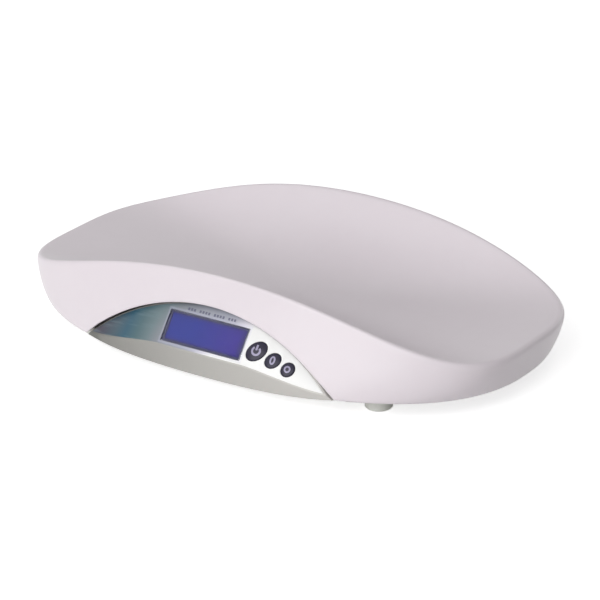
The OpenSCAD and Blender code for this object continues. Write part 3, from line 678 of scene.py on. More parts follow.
@dataclass(frozen=True)
class FasciaPrintAndShade:
    """The console's back-printed sheet: teal at the left tip, fading to white past the display.
    Its dark left end is partly print and partly painted shade, the tray arch's shadow in the recess.

    The spans are places along the sheet in metres.
    """

    name: str = "fascia_print"
    frame_line: float = 2.4
    frame_tone: Triple = (0.62, 0.60, 0.85)
    dash_lift: float = 4.1
    dash_height: float = 2.6
    dash_pitch: float = 3.4
    dash_half: float = 1.1
    dash_reach: float = 29.5
    dash_ink: Triple = (0.06, 0.06, 0.13)
    dash_strength: float = 0.75
    stroke_tone: Triple = (0.30, 0.42, 0.46)
    stroke_span: Pair = (-0.115, -0.045)
    stroke_turn_deg: float = 18.0
    lean_span: Pair = (-0.07, 0.0)
    sweep_span: Pair = (-0.125, 0.045)
    # painted shade: the near-black left stops darken the print where the tray's arch shades the recess
    print_and_shade_stops: tuple[tuple[float, Triple], ...] = (
        (0.0, (0.052, 0.045, 0.070)), (0.12, (0.060, 0.10, 0.13)), (0.20, (0.034, 0.105, 0.155)),
        (0.29, (0.078, 0.145, 0.168)), (0.38, (0.155, 0.215, 0.232)), (0.46, (0.24, 0.26, 0.29)),
        (0.56, (0.34, 0.355, 0.41)), (0.70, (0.38, 0.395, 0.46)), (0.79, (0.48, 0.48, 0.55)),
        (0.87, (0.74, 0.72, 0.79)), (0.93, (0.93, 0.93, 0.92)))

    def material(self) -> Material:
        """Builds the material."""
        material, graph, shader = new_material(self.name)
        from_middle = graph.node("ShaderNodeVectorMath", {"operation": "SUBTRACT"}, i0=graph.where(),
                                 i1=[v * MM for v in PANEL_MIDDLE]).outputs[0]
        on_sheet = graph.node("ShaderNodeVectorRotate", {"rotation_type": "X_AXIS"}, Vector=from_middle,
                              Angle=-math.radians(PANEL_TILT_DEG)).outputs[0]
        x, up, _ = graph.axes(on_sheet)
        ramp = self._ramp(graph, self._sweep(graph, x, up))
        streaked = self._streaks(graph, on_sheet, x, ramp)
        line = graph.mix(0.2, ramp, (*self.frame_tone, 1))
        framed = graph.mix(self._frame_mask(graph, x, up), streaked, line)
        marked = graph.mix(self._dash_mask(graph, x, up), framed, (*self.dash_ink, 1))
        EFFECTS.relief(graph, shader, Effect.GRAIN, 0.004, Scale=2600.0, Roughness=0.32, Spread=0.06)
        graph.feed(shader, Base_Color=marked, Coat_Weight=0.15, Coat_Roughness=0.2,
                   Specular_IOR_Level=0.35)
        return material

    def _sweep(self, graph: Graph, x: Socket, up: Socket) -> Socket:
        """The print's own coordinate, 0 at the left tip and 1 at the right, leaning more and more."""
        lean = graph.span(x, *self.lean_span, 0.1, 1.0)
        return graph.span(graph.minus(x, graph.times(up, lean)), *self.sweep_span)

    def _ramp(self, graph: Graph, sweep: Socket) -> Socket:
        """The colours along the sweep: slate, teal, grey green, lavender grey and white; the darkest left
        stops hold painted shade as well as the print's teal.

        Args:
            graph: the material's graph.
            sweep: the print's own coordinate.

        Returns:
            The colour.
        """
        made = graph.node("ShaderNodeValToRGB", None, Fac=sweep)
        ramp = made.color_ramp
        while len(ramp.elements) < len(self.print_and_shade_stops):
            ramp.elements.new(0.5)
        for element, (place, colour) in zip(ramp.elements, self.print_and_shade_stops):
            element.position = place
            element.color = (*colour, 1)
        return made.outputs["Color"]

    def _streaks(self, graph: Graph, where: Socket, x: Socket, colour: Socket) -> Socket:
        """Soft lighter strokes across the teal end.

        Args:
            graph: the material's graph.
            where: the place on the sheet.
            x: the place along it.
            colour: the colour below the strokes.

        Returns:
            The colour.
        """
        turn = (0, 0, math.radians(self.stroke_turn_deg))
        drawn = graph.node("ShaderNodeMapping", None, Vector=where, Rotation=turn,
                           Scale=(14.0, 130.0, 1.0)).outputs[0]
        strokes = graph.span(graph.noise(drawn, 1.0, 3.0, 0.6), 0.48, 0.72, 0.0, 0.45)
        left = graph.span(x, *self.stroke_span, 1.0, 0.0)
        return graph.mix(graph.times(strokes, left), colour, (*self.stroke_tone, 1))

    def _frame_mask(self, graph: Graph, x: Socket, up: Socket) -> Socket:
        """1 on the pale line printed round the window."""
        over = [graph.minus(graph.off(value), (half + self.frame_line) * MM)
                for value, half in zip((x, up), WINDOW_HALF)]
        return graph.span(graph.math("MAXIMUM", *over), -0.6 * MM, 0.3 * MM, 0.9, 0.0)

    def _dash_mask(self, graph: Graph, x: Socket, up: Socket) -> Socket:
        """1 on a plain row of dashes above the window, in groups of four.

        Args:
            graph: the material's graph.
            x: the place along the sheet.
            up: the place up its slope.

        Returns:
            The mask.
        """
        beats_left, beats_in_half_group = 50, 2.5
        shifted = graph.plus(x, self.dash_pitch * beats_left * MM)
        beat = graph.math("PINGPONG", shifted, self.dash_pitch / 2 * MM)
        group = graph.math("PINGPONG", shifted, self.dash_pitch * beats_in_half_group * MM)
        dash = graph.within(beat, self.dash_half, 0.15)
        kept = graph.span(group, self.dash_half * MM, (self.dash_half + 0.3) * MM)
        lift = graph.off(up, (WINDOW_HALF[1] + self.dash_lift) * MM)
        row = graph.within(lift, self.dash_height / 2, 0.1)
        inside = graph.within(graph.off(x), self.dash_reach, 0.1)
        shown = graph.times(graph.times(dash, kept), graph.times(row, inside))
        return graph.times(shown, self.dash_strength)


@dataclass(frozen=True)
class BackLitCell:
    """The liquid crystal cell: a blue ground with its own glow, a little more violet to the right.

    Each margin says how far from the middle the darker rim begins and where it is full, and the
    violet span says where along the cell, in metres, the ground changes.
    """

    name: str = "lcd_blue"
    left: Triple = (0.003, 0.010, 0.134)
    right: Triple = (0.024, 0.004, 0.128)
    cloud: Triple = (0.008, 0.018, 0.170)
    rim: Triple = (0.008, 0.004, 0.080)
    rim_strength: float = 0.85
    violet_span: Pair = (-0.015, 0.045)
    margin_right: Pair = (36.5, 40.0)
    margin_left: Pair = (42.5, 45.0)
    margin_top: Pair = (9.5, 13.5)
    margin_bottom: Pair = (10.5, 13.5)
    middle_z: float = 49.8
    glow: float = 0.75

    def material(self) -> Material:
        """Builds the material."""
        material, graph, shader = new_material(self.name)
        where = graph.where()
        x, _, z = graph.axes(where)
        ground = graph.mix(graph.span(x, *self.violet_span), (*self.left, 1), (*self.right, 1))
        cloud = graph.span(graph.noise(where, 40.0, 3.0), 0.3, 0.7, 0.0, 0.25)
        lit = graph.mix(cloud, ground, (*self.cloud, 1))
        toned = graph.mix(self._rim_mask(graph, x, z), lit, (*self.rim, 1))
        fine = graph.node("ShaderNodeTexChecker", None, Vector=where, Scale=2500.0).outputs["Fac"]
        graph.feed(shader, Base_Color=toned, Emission_Color=toned, Emission_Strength=self.glow,
                   Normal=graph.bump(fine, 0.002, 0.3), Roughness=0.5, Specular_IOR_Level=0.08)
        return material

    def _rim_mask(self, graph: Graph, x: Socket, z: Socket) -> Socket:
        """1 on the darker margin round the lit field, which is widest at the right.

        Args:
            graph: the material's graph.
            x: the place along the cell.
            z: the height.

        Returns:
            The mask.
        """
        rise = math.sin(math.radians(PANEL_TILT_DEG)) * MM
        lift = graph.minus(z, self.middle_z * MM)
        mask: object = 0.0
        for value, unit, right, left in ((x, MM, self.margin_right, self.margin_left),
                                         (lift, rise, self.margin_top, self.margin_bottom)):
            for side, (start, full) in ((value, right), (graph.times(value, -1.0), left)):
                share = graph.span(side, start * unit, full * unit, 0.0, self.rim_strength)
                mask = graph.math("MAXIMUM", mask, share)
        return mask


@dataclass(frozen=True)
class ClearWindow:
    """The hard-coated clear window over the display."""

    name: str = "window_clear"
    clean: Triple = (0.93, 0.94, 1.0)
    hazy: Triple = (0.88, 0.90, 0.99)

    def material(self) -> Material:
        """Builds the material."""
        material, graph, shader = new_material(self.name)
        where = graph.where()
        wipe = graph.span(graph.noise(where, 55.0, 5.0, 0.65), 0.35, 0.75, 0.015, 0.07)
        haze = graph.span(graph.noise(where, 22.0, 3.0), 0.3, 0.7)
        graph.feed(shader, Roughness=wipe, Base_Color=graph.mix(haze, (*self.clean, 1), (*self.hazy, 1)),
                   Transmission_Weight=1.0, IOR=1.3)
        return material


@dataclass(frozen=True)
class Board:
    """A solder-masked board with copper traces and pads showing through."""

    name: str = "board_green"
    mask: Triple = (0.015, 0.10, 0.045)
    drifted: Triple = (0.02, 0.13, 0.06)
    copper: Triple = (0.05, 0.22, 0.09)

    def material(self) -> Material:
        """Builds the material."""
        material, graph, shader = new_material(self.name)
        where = graph.where()
        bricks = graph.node("ShaderNodeTexBrick", {"offset": 0.37, "squash": 1.6, "squash_frequency": 3},
                            Vector=where, Scale=160.0, Mortar_Size=0.07, Mortar_Smooth=0.2).outputs["Fac"]
        traces = graph.times(bricks, graph.span(graph.noise(where, 260.0, 1.0), 0.48, 0.52))
        tone = EFFECTS.place(graph, Effect.DRIFT, Color=(*self.mask, 1), Tint=(*self.drifted, 1),
                             Amount=0.4, Scale=30.0)
        graph.feed(shader, Base_Color=graph.mix(traces, tone.outputs["Color"], (*self.copper, 1)),
                   Normal=graph.bump(traces, 0.03), Roughness=0.28)
        return material


@dataclass(frozen=True)
class BatteryJacket:
    """A round cell's printed sleeve: dark along its length, a metallic band and bare ends."""

    name: str = "battery_jacket"
    low_y: float = 88.0
    high_y: float = 136.0
    band_at: float = 0.72
    sleeve: Triple = (0.02, 0.022, 0.03)
    band: Triple = (0.42, 0.27, 0.09)
    bare: Triple = (0.62, 0.62, 0.60)

    def material(self) -> Material:
        """Builds the material."""
        material, graph, shader = new_material(self.name)
        share = graph.span(graph.axes(graph.where())[1], self.low_y * MM, self.high_y * MM)
        band = graph.span(graph.off(share, self.band_at), 0.12, 0.13, 1.0, 0.0)
        ends = graph.span(graph.off(share, 0.5), 0.495, 0.50)
        sleeve = graph.mix(band, (*self.sleeve, 1), (*self.band, 1))
        EFFECTS.relief(graph, shader, Effect.BRUSHED, 0.01, Scale=500.0, Roughness=0.3, Spread=0.25)
        graph.feed(shader, Base_Color=graph.mix(ends, sleeve, (*self.bare, 1)),
                   Metallic=graph.math("MAXIMUM", band, ends))
        return material


@dataclass(frozen=True)
class HousingWithPaintedShade:
    """The console housing's warm grey with painted shade: darker towards its left end, where the tray's skirt
    shades the chin.
    """

    name: str = "housing_grey_painted_shade"
    # painted shade: the dark left colour stands in for the skirt's shadow on the chin's left end
    left: Triple = (0.11, 0.11, 0.10)
    right: Triple = (0.61, 0.59, 0.565)
    tint: Triple = (0.50, 0.51, 0.45)
    reach: float = 130.0
    rise: float = 0.55

    def material(self) -> Material:
        """Builds the material."""
        material, graph, shader = new_material(self.name)
        x = graph.axes(graph.where())[0]
        across = graph.math("POWER", graph.span(x, -self.reach * MM, self.reach * MM), self.rise)
        ground = graph.mix(across, (*self.left, 1), (*self.right, 1))
        tone = EFFECTS.place(graph, Effect.DRIFT, Color=ground, Tint=(*self.tint, 1), Amount=0.12,
                             Scale=22.0)
        dusty = EFFECTS.place(graph, Effect.DUST, Color=tone.outputs["Color"], Amount=0.03)
        EFFECTS.relief(graph, shader, Effect.GRAIN, 0.012, Scale=1700.0, Roughness=0.42, Spread=0.08)
        graph.feed(shader, Base_Color=dusty.outputs["Color"])
        return material


@dataclass(frozen=True)
class RibbonCable:
    """A white flat cable with its conductors showing as fine ridges."""

    name: str = "ribbon_white"
    pitch: float = 1.0
    slope: float = 1.26
    offset: float = 1.0
    groove: Triple = (0.60, 0.60, 0.58)
    ridge: Triple = (0.80, 0.80, 0.78)

    def material(self) -> Material:
        """Builds the material."""
        material, graph, shader = new_material(self.name)
        _, y, z = graph.axes(graph.where())
        across = graph.plus(graph.plus(y, graph.times(z, self.slope)), self.offset)
        ridge = graph.math("PINGPONG", across, self.pitch / 2 * MM)
        height = graph.span(ridge, 0.0, self.pitch / 2 * MM)
        graph.feed(shader, Base_Color=graph.mix(height, (*self.groove, 1), (*self.ridge, 1)),
                   Normal=graph.bump(height, 0.15), Roughness=0.45)
        return material


# ---- the tray -----------------------------------------------------------------------------------------
TRAY_WHITE = Moulding("tray_white", (0.80, 0.74, 0.78), (0.775, 0.705, 0.75), 0.34, grain=1400.0,
                      depth=0.006, drift=0.5, dust=0.02, coat=0.1, spread=0.05, specular=0.4)


@dataclass(frozen=True)
class Tray:
    """The long dished tray with its rolled rim and full skirt, cut by the console's arch."""

    rim_half: Pair = (280.65, 129.5)
    rim_power: float = 3.6
    skirt_half: Pair = (272.7, 168.5)
    skirt_power: float = 2.37
    skirt_z: float = 18.0
    crest_z: float = 105.4
    crest_fall: Triple = (65.3, 10.1, -23.2)
    crest_low: float = 53.0
    crest_span: float = 52.0
    roll_rise: Pair = (1.9, 1.6)
    corner_drop: Pair = (3.4, 4.0)
    corner_below: float = 0.02
    corner_lift: float = 0.6
    corner_inset: float = 2.0
    dish_z: float = 46.0
    wall: float = 3.0
    rim_round: float = 7.0
    edge_round: float = 3.4
    arch_z: float = 76.2
    arch_half: float = 148.0
    flank_bend: float = 1.25
    dish_power: float = 2.1
    arch_columns: int = 150
    rest_columns: int = 250
    under_loops: int = 22
    inner_loops: int = 9
    outer_loops: int = 20
    dish_loops: int = 32
    dish_crowding: float = 1.15

    @property
    def arch_radius(self) -> float:
        """Radius of the arch in the front view."""
        rise = self.arch_z - self.skirt_z
        return (self.arch_half ** 2 + rise ** 2) / (2 * rise)

    @property
    def arch_centre_z(self) -> float:
        """Height of the arch's centre."""
        return self.arch_z - self.arch_radius

    def crest_drawn(self, a: np.ndarray) -> np.ndarray:
        """Height of the finished crest at outline angle a."""
        u = (superellipse(a, self.rim_power) * np.cos(a)) ** 2
        return self.crest_z - sum(fall * u ** (i + 1) for i, fall in enumerate(self.crest_fall))

    def crest_share(self, a: np.ndarray) -> np.ndarray:
        """Where the finished crest stands between its low ends, 0, and its high middle, 1."""
        return (self.crest_drawn(a) - self.crest_low) / self.crest_span

    def crest(self, a: np.ndarray) -> np.ndarray:
        """Height of the unrolled crest, which the rolled rim then takes down."""
        return self.crest_drawn(a) + self.roll_rise[0] + self.roll_rise[1] * self.crest_share(a)

    def flank(self, a: np.ndarray, t: np.ndarray | float, inset: float = 0.0) -> np.ndarray:
        """Points of the skirt.

        Args:
            a: outline angles.
            t: share of the way from the crest, 0, to the lower edge, 1.
            inset: how far inside the outer face.

        Returns:
            One x, y, z for each angle.
        """
        g = np.broadcast_to(t, a.shape) ** self.flank_bend
        power = self.rim_power + (self.skirt_power - self.rim_power) * g
        half_x = self.rim_half[0] + (self.skirt_half[0] - self.rim_half[0]) * g - inset
        half_y = self.rim_half[1] + (self.skirt_half[1] - self.rim_half[1]) * g - inset
        r = superellipse(a, power)
        z = self.crest(a) + (self.skirt_z - self.crest(a)) * t
        return np.stack([half_x * r * np.cos(a), half_y * r * np.sin(a), z], axis=-1)

    def dish(self, a: np.ndarray, s: np.ndarray | float, depth: float = 0.0) -> np.ndarray:
        """Points of the dish.

        Args:
            a: outline angles.
            s: share of the way from the middle, 0, to the rim, 1.
            depth: how far below the upper face.

        Returns:
            One x, y, z for each angle.
        """
        rim = self.flank(a, 0.0)
        reach = np.hypot(rim[:, 0], rim[:, 1])
        rise = self.crest(a) - self.dish_z
        slope = self.dish_power * rise * s ** (self.dish_power - 1) / reach
        z = self.dish_z + rise * s ** self.dish_power - depth * np.sqrt(1 + slope ** 2)
        return np.stack([rim[:, 0] * s, rim[:, 1] * s, z], axis=-1)

    def edge_share(self, a: np.ndarray, inset: float) -> np.ndarray:
        """Share down the flank at which each angle's wall ends, at the arch or the lower edge.

        Args:
            a: outline angles.
            inset: how far inside the outer face.

        Returns:
            One share for each angle.
        """
        far_below, arch_margin = -1000.0, 20.0
        low, high = np.full_like(a, 0.05), np.ones_like(a)
        for _ in range(24):
            mid = (low + high) / 2
            x, _, z = self.flank(a, mid, inset).T
            under = np.sqrt(np.maximum(self.arch_radius ** 2 - x ** 2, 0)) + self.arch_centre_z
            arch = np.where(np.abs(x) < self.arch_half + arch_margin, under, far_below)
            above = z > np.maximum(self.skirt_z, arch)
            low, high = np.where(above, mid, low), np.where(above, high, mid)
        return np.where(np.sin(a) > 0, 1.0, (low + high) / 2)

    def before_tip(self, turn: float) -> bool:
        """Whether the lower edge, this far round from straight ahead, is still under the arch."""
        return self.flank(np.array([turn - math.pi / 2]), 1.0)[0, 0] < self.arch_half

    def angles(self) -> np.ndarray:
        """Outline angles of the mesh's columns, with one on each tip of the arch."""
        tip = last_place(self.before_tip, math.radians(10), math.radians(60))
        front = -math.pi / 2 - tip + 2 * tip * np.arange(self.arch_columns) / self.arch_columns
        rest = -math.pi / 2 + tip + (2 * math.pi - 2 * tip) * np.arange(self.rest_columns) / self.rest_columns
        return np.concatenate([front, rest])

    def sections(self) -> list[np.ndarray]:
        """The loops of the mesh, from under the dish's middle round the edge to the dish's middle.

        Returns:
            The loops, each with one point for each outline angle.
        """
        a = self.angles()
        rim = self.flank(a, 0.0)
        reach = np.hypot(rim[:, 0], rim[:, 1])
        height = self.crest(a) - self.skirt_z
        inner_end, outer_end = self.edge_share(a, self.wall), self.edge_share(a, 0.0)
        cut, start, end = self.edge_round / height, self.rim_round / height, 1 - self.rim_round / reach
        drop = self.corner_drop[0] + self.corner_drop[1] * self.crest_share(a)
        top = drop / height + self.corner_below

        loops = [self.dish(a, s, self.wall) for s in np.linspace(0.06, 0.93, self.under_loops)]
        last = self.dish(a, 1 - (self.wall + self.corner_inset) / reach, self.wall)
        first = self.flank(a, top, self.wall)
        loops += bend(last, (last + first) / 2 + np.array([0, 0, self.corner_lift]), first, 3)
        loops += [self.flank(a, top + (inner_end - cut - top) * w, self.wall)
                  for w in np.linspace(0.08, 1, self.inner_loops)]
        inner, outer = self.flank(a, inner_end, self.wall), self.flank(a, outer_end)
        middle = (inner + outer) / 2
        loops += bend(loops[-1], inner, middle, 4)[1:]
        loops += bend(middle, outer, self.flank(a, outer_end - cut), 4)[1:]
        loops += [self.flank(a, outer_end - cut + (start - outer_end + cut) * w)
                  for w in np.linspace(0, 1, self.outer_loops + 1)[1:]]
        loops += bend(self.flank(a, start), rim, self.dish(a, end), 10)[1:]
        inwards = 1 - np.linspace(0.0, 1.0, self.dish_loops + 2)[1:-1] ** self.dish_crowding
        return loops + [self.dish(a, end * w) for w in inwards]

    def build(self) -> Piece:
        """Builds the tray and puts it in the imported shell's place."""
        poles = np.array([(0, 0, self.dish_z - self.wall), (0, 0, self.dish_z)])
        tray = paint(poled_loft("tray_moulding", self.sections(), poles, 50.0), TRAY_WHITE.material())
        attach(tray, "platform")
        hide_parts("tray_shell")
        LOG.info("tray_moulding: %d faces", len(tray.data.polygons))
        return tray


# ---- the console's shapes -------------------------------------------------------------------------
@dataclass(frozen=True)
class Panel:
    """The leaning panel's own frame: X along it, Y up its slope, Z out of it."""

    flat: float = 48.0
    fall: float = 17.9
    tip_x: float = 145.0

    @property
    def tilt(self) -> float:
        """How far the panel leans back from lying flat, in radians."""
        return math.radians(PANEL_TILT_DEG)

    @property
    def place(self) -> Matrix:
        """Where the panel's frame lies, in millimetres."""
        return Matrix.Translation(PANEL_MIDDLE) @ Matrix.Rotation(self.tilt, 4, "X")

    def face(self, x: float) -> float:
        """Level of the panel's face at x, which falls away towards both tips."""
        over = max(abs(x) - self.flat, 0) / (self.tip_x - self.flat)
        return -self.fall * over ** 1.5

    def point(self, x: float, up: float, out: float) -> np.ndarray:
        """A point of the panel's frame in the object's own axes."""
        sine, cosine = math.sin(self.tilt), math.cos(self.tilt)
        return np.array([x, PANEL_MIDDLE[1] + up * cosine - out * sine,
                         PANEL_MIDDLE[2] + up * sine + out * cosine])

    def up_at(self, z: float, out: float) -> float:
        """How far up the slope a height is reached."""
        return (z - PANEL_MIDDLE[2] - out * math.cos(self.tilt)) / math.sin(self.tilt)


@dataclass(frozen=True)
class Chin:
    """The bowed front below the panel and its rising lower edge."""

    front_y: float = -162.8
    lean_deg: float = 9.4
    crease_z: float = 36.0
    half: float = 141.0
    bow: float = 9.0
    power: float = 4.0
    low_z: float = 9.5
    rise: float = 6.8

    def y(self, x: float, z: float, inset: float = 0.0) -> float:
        """How far forward the chin stands at x and z.

        Args:
            x: place along the chin.
            z: height.
            inset: how far behind the chin's face.

        Returns:
            The y of that place.
        """
        lean = math.radians(self.lean_deg)
        bowed = self.bow * (abs(x) / self.half) ** self.power
        return self.front_y + inset + (bowed - (z - self.crease_z) * math.sin(lean)) / math.cos(lean)

    def low(self, x: float, inset: float = 0.0) -> float:
        """Height of the lower edge at x."""
        radius = self.half ** 2 / (2 * self.rise)
        return self.low_z + radius - math.sqrt((radius - inset) ** 2 - x ** 2)

    def crease(self, panel: Panel, x: float, out: float, inset: float = 0.0) -> float:
        """How far up the panel's slope the chin meets it.

        Args:
            panel: the panel.
            x: place along it.
            out: height of the panel's face in its own frame.
            inset: how far behind the chin's face.

        Returns:
            The place on the slope.
        """
        lean = math.radians(self.lean_deg)
        start = panel.point(x, 0.0, out)
        behind = start[1] - self.y(x, start[2], inset)
        return -behind * math.cos(lean) / math.cos(panel.tilt - lean)


@dataclass(frozen=True)
class ConsoleForm:
    """The solid that the console's housing is hollowed from, as a row of sections along X."""

    panel: Panel
    chin: Chin
    arch_radius: float
    arch_centre_z: float
    depth: float
    inset: float
    back_y: float
    fillets: Triple
    least_height: float = 0.7
    least_run: float = 0.02
    widest_cut: float = 0.45
    count: int = 180

    def top(self, x: float) -> float:
        """Height of the arch at x."""
        return self.arch_centre_z + math.sqrt(self.arch_radius ** 2 - x ** 2)

    def is_tall(self, x: float) -> bool:
        """Whether the section at x has at least its least height."""
        return self.top(x) - self.chin.low(x, self.inset) > self.least_height

    def corners(self, x: float) -> list[np.ndarray]:
        """The five corners of a section.

        Args:
            x: place of the section.

        Returns:
            The corners: back low, front low, crease, panel's top and back high.
        """
        low, top = self.chin.low(x, self.inset), self.top(x)
        out = self.panel.face(x) - self.depth
        crease = self.panel.point(x, self.chin.crease(self.panel, x, out, self.inset), out)
        if crease[2] > top:
            crease = np.array([x, self.chin.y(x, top, self.inset), top])
        head = self.panel.point(x, self.panel.up_at(top, out), out)
        head[1] = max(head[1], crease[1] + self.least_run)
        front = np.array([x, self.chin.y(x, low, self.inset), low])
        return [np.array([x, self.back_y, low]), front, crease, head, np.array([x, self.back_y, top])]

    def section(self, x: float) -> np.ndarray:
        """A section with its three front corners rounded.

        Args:
            x: place of the section.

        Returns:
            Its points.
        """
        corners = self.corners(x)
        points = [corners[0]]
        for i, radius in enumerate(self.fillets, start=1):
            ways = corners[i - 1] - corners[i], corners[i + 1] - corners[i]
            sides = [np.linalg.norm(way) for way in ways]
            cut = min(radius, *(self.widest_cut * side for side in sides))
            start, end = (corners[i] + way * cut / max(side, TINY) for way, side in zip(ways, sides))
            points += bend(start, corners[i], end, 5)
        return np.array([*points, corners[4]])

    def build(self, name: str) -> Piece:
        """Builds the solid."""
        reach = last_place(self.is_tall, 100.0, 150.0)
        return loft(name, [self.section(x) for x in stations(-reach, reach, self.count)], SHARP_DEG)


# ---- the console -----------------------------------------------------------------------------------
@dataclass
class Console:
    """The grey housing with its chin, the printed sheet, the window and the display behind it."""

    tray: Tray
    panel: Panel = field(default_factory=Panel)
    chin: Chin = field(default_factory=Chin)
    arch_gap: float = 2.0
    wall: float = 2.4
    back_y: float = -118.0
    hollow_back_y: float = -100.0
    outer_fillets: Triple = (1.2, 0.7, 0.8)
    hollow_fillets: Triple = (0.6, 0.6, 0.6)
    sheet: float = 0.8
    sheet_columns: int = 200
    sheet_broken: float = 0.25
    sheet_round: float = 0.3
    sheet_arch_margin: float = 0.8
    sheet_crease_margin: float = 0.5
    sheet_least: float = 0.6
    window_depth: float = 2.2
    window_proud: float = 0.1
    window_corner: float = 1.2
    window_broken: Pair = (0.35, 0.1)
    fit: float = 0.2
    cut_below: float = 9.0
    cut_above: float = 5.0
    ledge: float = 2.0
    ledge_corner: float = 0.8
    surround_left: float = 0.35
    surround_right: float = 1.5
    surround_top: float = 0.35
    surround_bottom: float = 0.7
    border: float = 2.1
    print_low: float = -2.1
    print_top: float = -2.0
    print_edge_top: float = -0.4
    print_edge: Pair = (0.15, 0.3)
    floor_z: float = 13.5
    flange: tuple[Pair, ...] = ((-138, -124), (138, -124), (138, -104), (46, -104), (46, -118), (-46, -118),
                                (-46, -104), (-138, -104))
    flange_height: float = 2.4
    lip: tuple[Pair, ...] = ((-138, -124), (138, -124), (138, -118.1), (-138, -118.1))
    lip_span: Pair = (-1.5, 0.5)
    posts: tuple[Pair, ...] = ((-55, 9), (-55, -12), (30, 21), (-30, 21))
    post_radius: float = 2.5
    post_bore: float = 0.95
    post_bore_span: Pair = (-1.0, 5.0)
    post_top: float = -2.6
    board_z: float = -9.4
    screws: tuple[Pair, ...] = ((-120, -110), (-50, -110), (50, -110), (120, -110))
    screw_bore: float = 1.3
    screw_bore_span: Pair = (-3.0, 5.0)

    def build(self, keys: "Keys") -> list[Piece]:
        """Builds every visible piece of the console.

        Args:
            keys: the keys, which give their holes and posts.

        Returns:
            The new pieces.
        """
        pieces = [self.housing(keys), self.fascia(keys), self.window(), *self.window_print()]
        self.dress_display()
        return pieces

    def window_outline(self, more: float, corner: float) -> np.ndarray:
        """The window's outline, widened by more, with this corner radius."""
        return rounded_box(WINDOW_HALF[0] + more, WINDOW_HALF[1] + more, corner)

    def window_prism(self, more: float, corner: float, low: float, high: float) -> Piece:
        """A prism over the window's widened outline, between two levels of the panel's frame."""
        return prism("window_prism", self.window_outline(more, corner), low, high, self.panel.place)

    def post_place(self, post: Pair) -> Matrix:
        """Where the frame of a board's post lies."""
        return self.panel.place @ Matrix.Translation((*post, 0))

    def housing(self, keys: "Keys") -> Piece:
        """The hollow housing with its flange, posts, window pocket and key holes.

        Args:
            keys: the keys, which give their holes and posts.

        Returns:
            The new piece.
        """
        radius = self.tray.arch_radius - self.arch_gap
        shared = {"panel": self.panel, "chin": self.chin, "arch_centre_z": self.tray.arch_centre_z}
        outer = ConsoleForm(arch_radius=radius, depth=self.sheet, inset=0.0, back_y=self.back_y,
                            fillets=self.outer_fillets, **shared).build("console_moulding")
        hollow = ConsoleForm(arch_radius=radius - self.wall, depth=self.sheet + self.wall,
                             inset=self.wall, back_y=self.hollow_back_y,
                             fillets=self.hollow_fillets, **shared).build("hollow")
        pocket = self.window_prism(self.fit, self.window_corner, -self.window_depth, self.cut_above)
        opening = self.window_prism(-self.ledge, self.ledge_corner, -self.cut_below, self.cut_above)
        join(outer, [hollow], Joint.CUT)
        join(outer, [*self.flange_and_posts(), *keys.posts()], Joint.ADD)
        join(outer, [pocket, opening, *keys.holes(), *self.screw_holes()], Joint.CUT)
        paint(outer, HousingWithPaintedShade().material())
        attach(outer, "base")
        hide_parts("console_housing")
        return outer

    def flange_and_posts(self) -> list[Piece]:
        """The flange that lies on the pan's floor, its lip and the posts that carry the main board."""
        flat, z = Matrix.Identity(4), self.floor_z
        added = [prism("flange", np.array(self.flange, float), z, z + self.flange_height, flat),
                 prism("lip", np.array(self.lip, float), z + self.lip_span[0], z + self.lip_span[1], flat)]
        for post in self.posts:
            top = self.post_top + self.panel.face(post[0])
            added.append(prism("post", self.post_radius * ring(24), self.board_z, top, self.post_place(post)))
        return added

    def screw_holes(self) -> list[Piece]:
        """Bores in the flange for the housing's screws and in the board posts for theirs."""
        low, high = (self.floor_z + level for level in self.screw_bore_span)
        holes = [prism("bore", self.screw_bore * ring(20), low, high, Matrix.Translation((*screw, 0)))
                 for screw in self.screws]
        low, high = (self.board_z + level for level in self.post_bore_span)
        return holes + [prism("bore", self.post_bore * ring(16), low, high, self.post_place(post))
                        for post in self.posts]

    def sheet_span(self, x: float) -> Pair:
        """The printed sheet's edges.

        Args:
            x: place along the sheet.

        Returns:
            Its lower and its upper edge there, up the slope.
        """
        face = self.panel.face(x)
        radius = self.tray.arch_radius - self.arch_gap - self.sheet_arch_margin
        high = self.tray.arch_centre_z + math.sqrt(radius ** 2 - x ** 2)
        low = self.chin.crease(self.panel, x, face, self.sheet_crease_margin)
        return low, self.panel.up_at(high, face)

    def is_sheet(self, x: float) -> bool:
        """Whether the sheet still has its least height at x."""
        low, high = self.sheet_span(x)
        return high - low > self.sheet_least

    def sheet_section(self, x: float) -> np.ndarray:
        """The sheet's section, its two front edges broken.

        Args:
            x: place along the sheet.

        Returns:
            The section's points.
        """
        low, high = self.sheet_span(x)
        face = self.panel.face(x)
        edge = min(self.sheet_broken, self.sheet_round * (high - low))
        step = self.sheet_round * edge
        low_side = [(low, face - self.sheet), (low, face - edge), (low + step, face - step),
                    (low + edge, face)]
        high_side = [(low + high - up, out) for up, out in reversed(low_side)]
        return np.array([self.panel.point(x, up, out) for up, out in low_side + high_side])

    def fascia(self, keys: "Keys") -> Piece:
        """The printed sheet with the window's and the keys' holes.

        Args:
            keys: the keys, which give their holes.

        Returns:
            The new piece.
        """
        reach = last_place(self.is_sheet, 80.0, 150.0)
        rows = [self.sheet_section(x) for x in stations(-reach, reach, self.sheet_columns)]
        sheet = loft("fascia_sheet", rows, SHARP_DEG)
        hole = self.window_prism(self.fit, self.window_corner, -self.cut_below, self.cut_below)
        join(sheet, [hole, *keys.holes()], Joint.CUT)
        paint(sheet, FasciaPrintAndShade().material())
        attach(sheet, "base")
        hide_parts("fascia_panel")
        return sheet

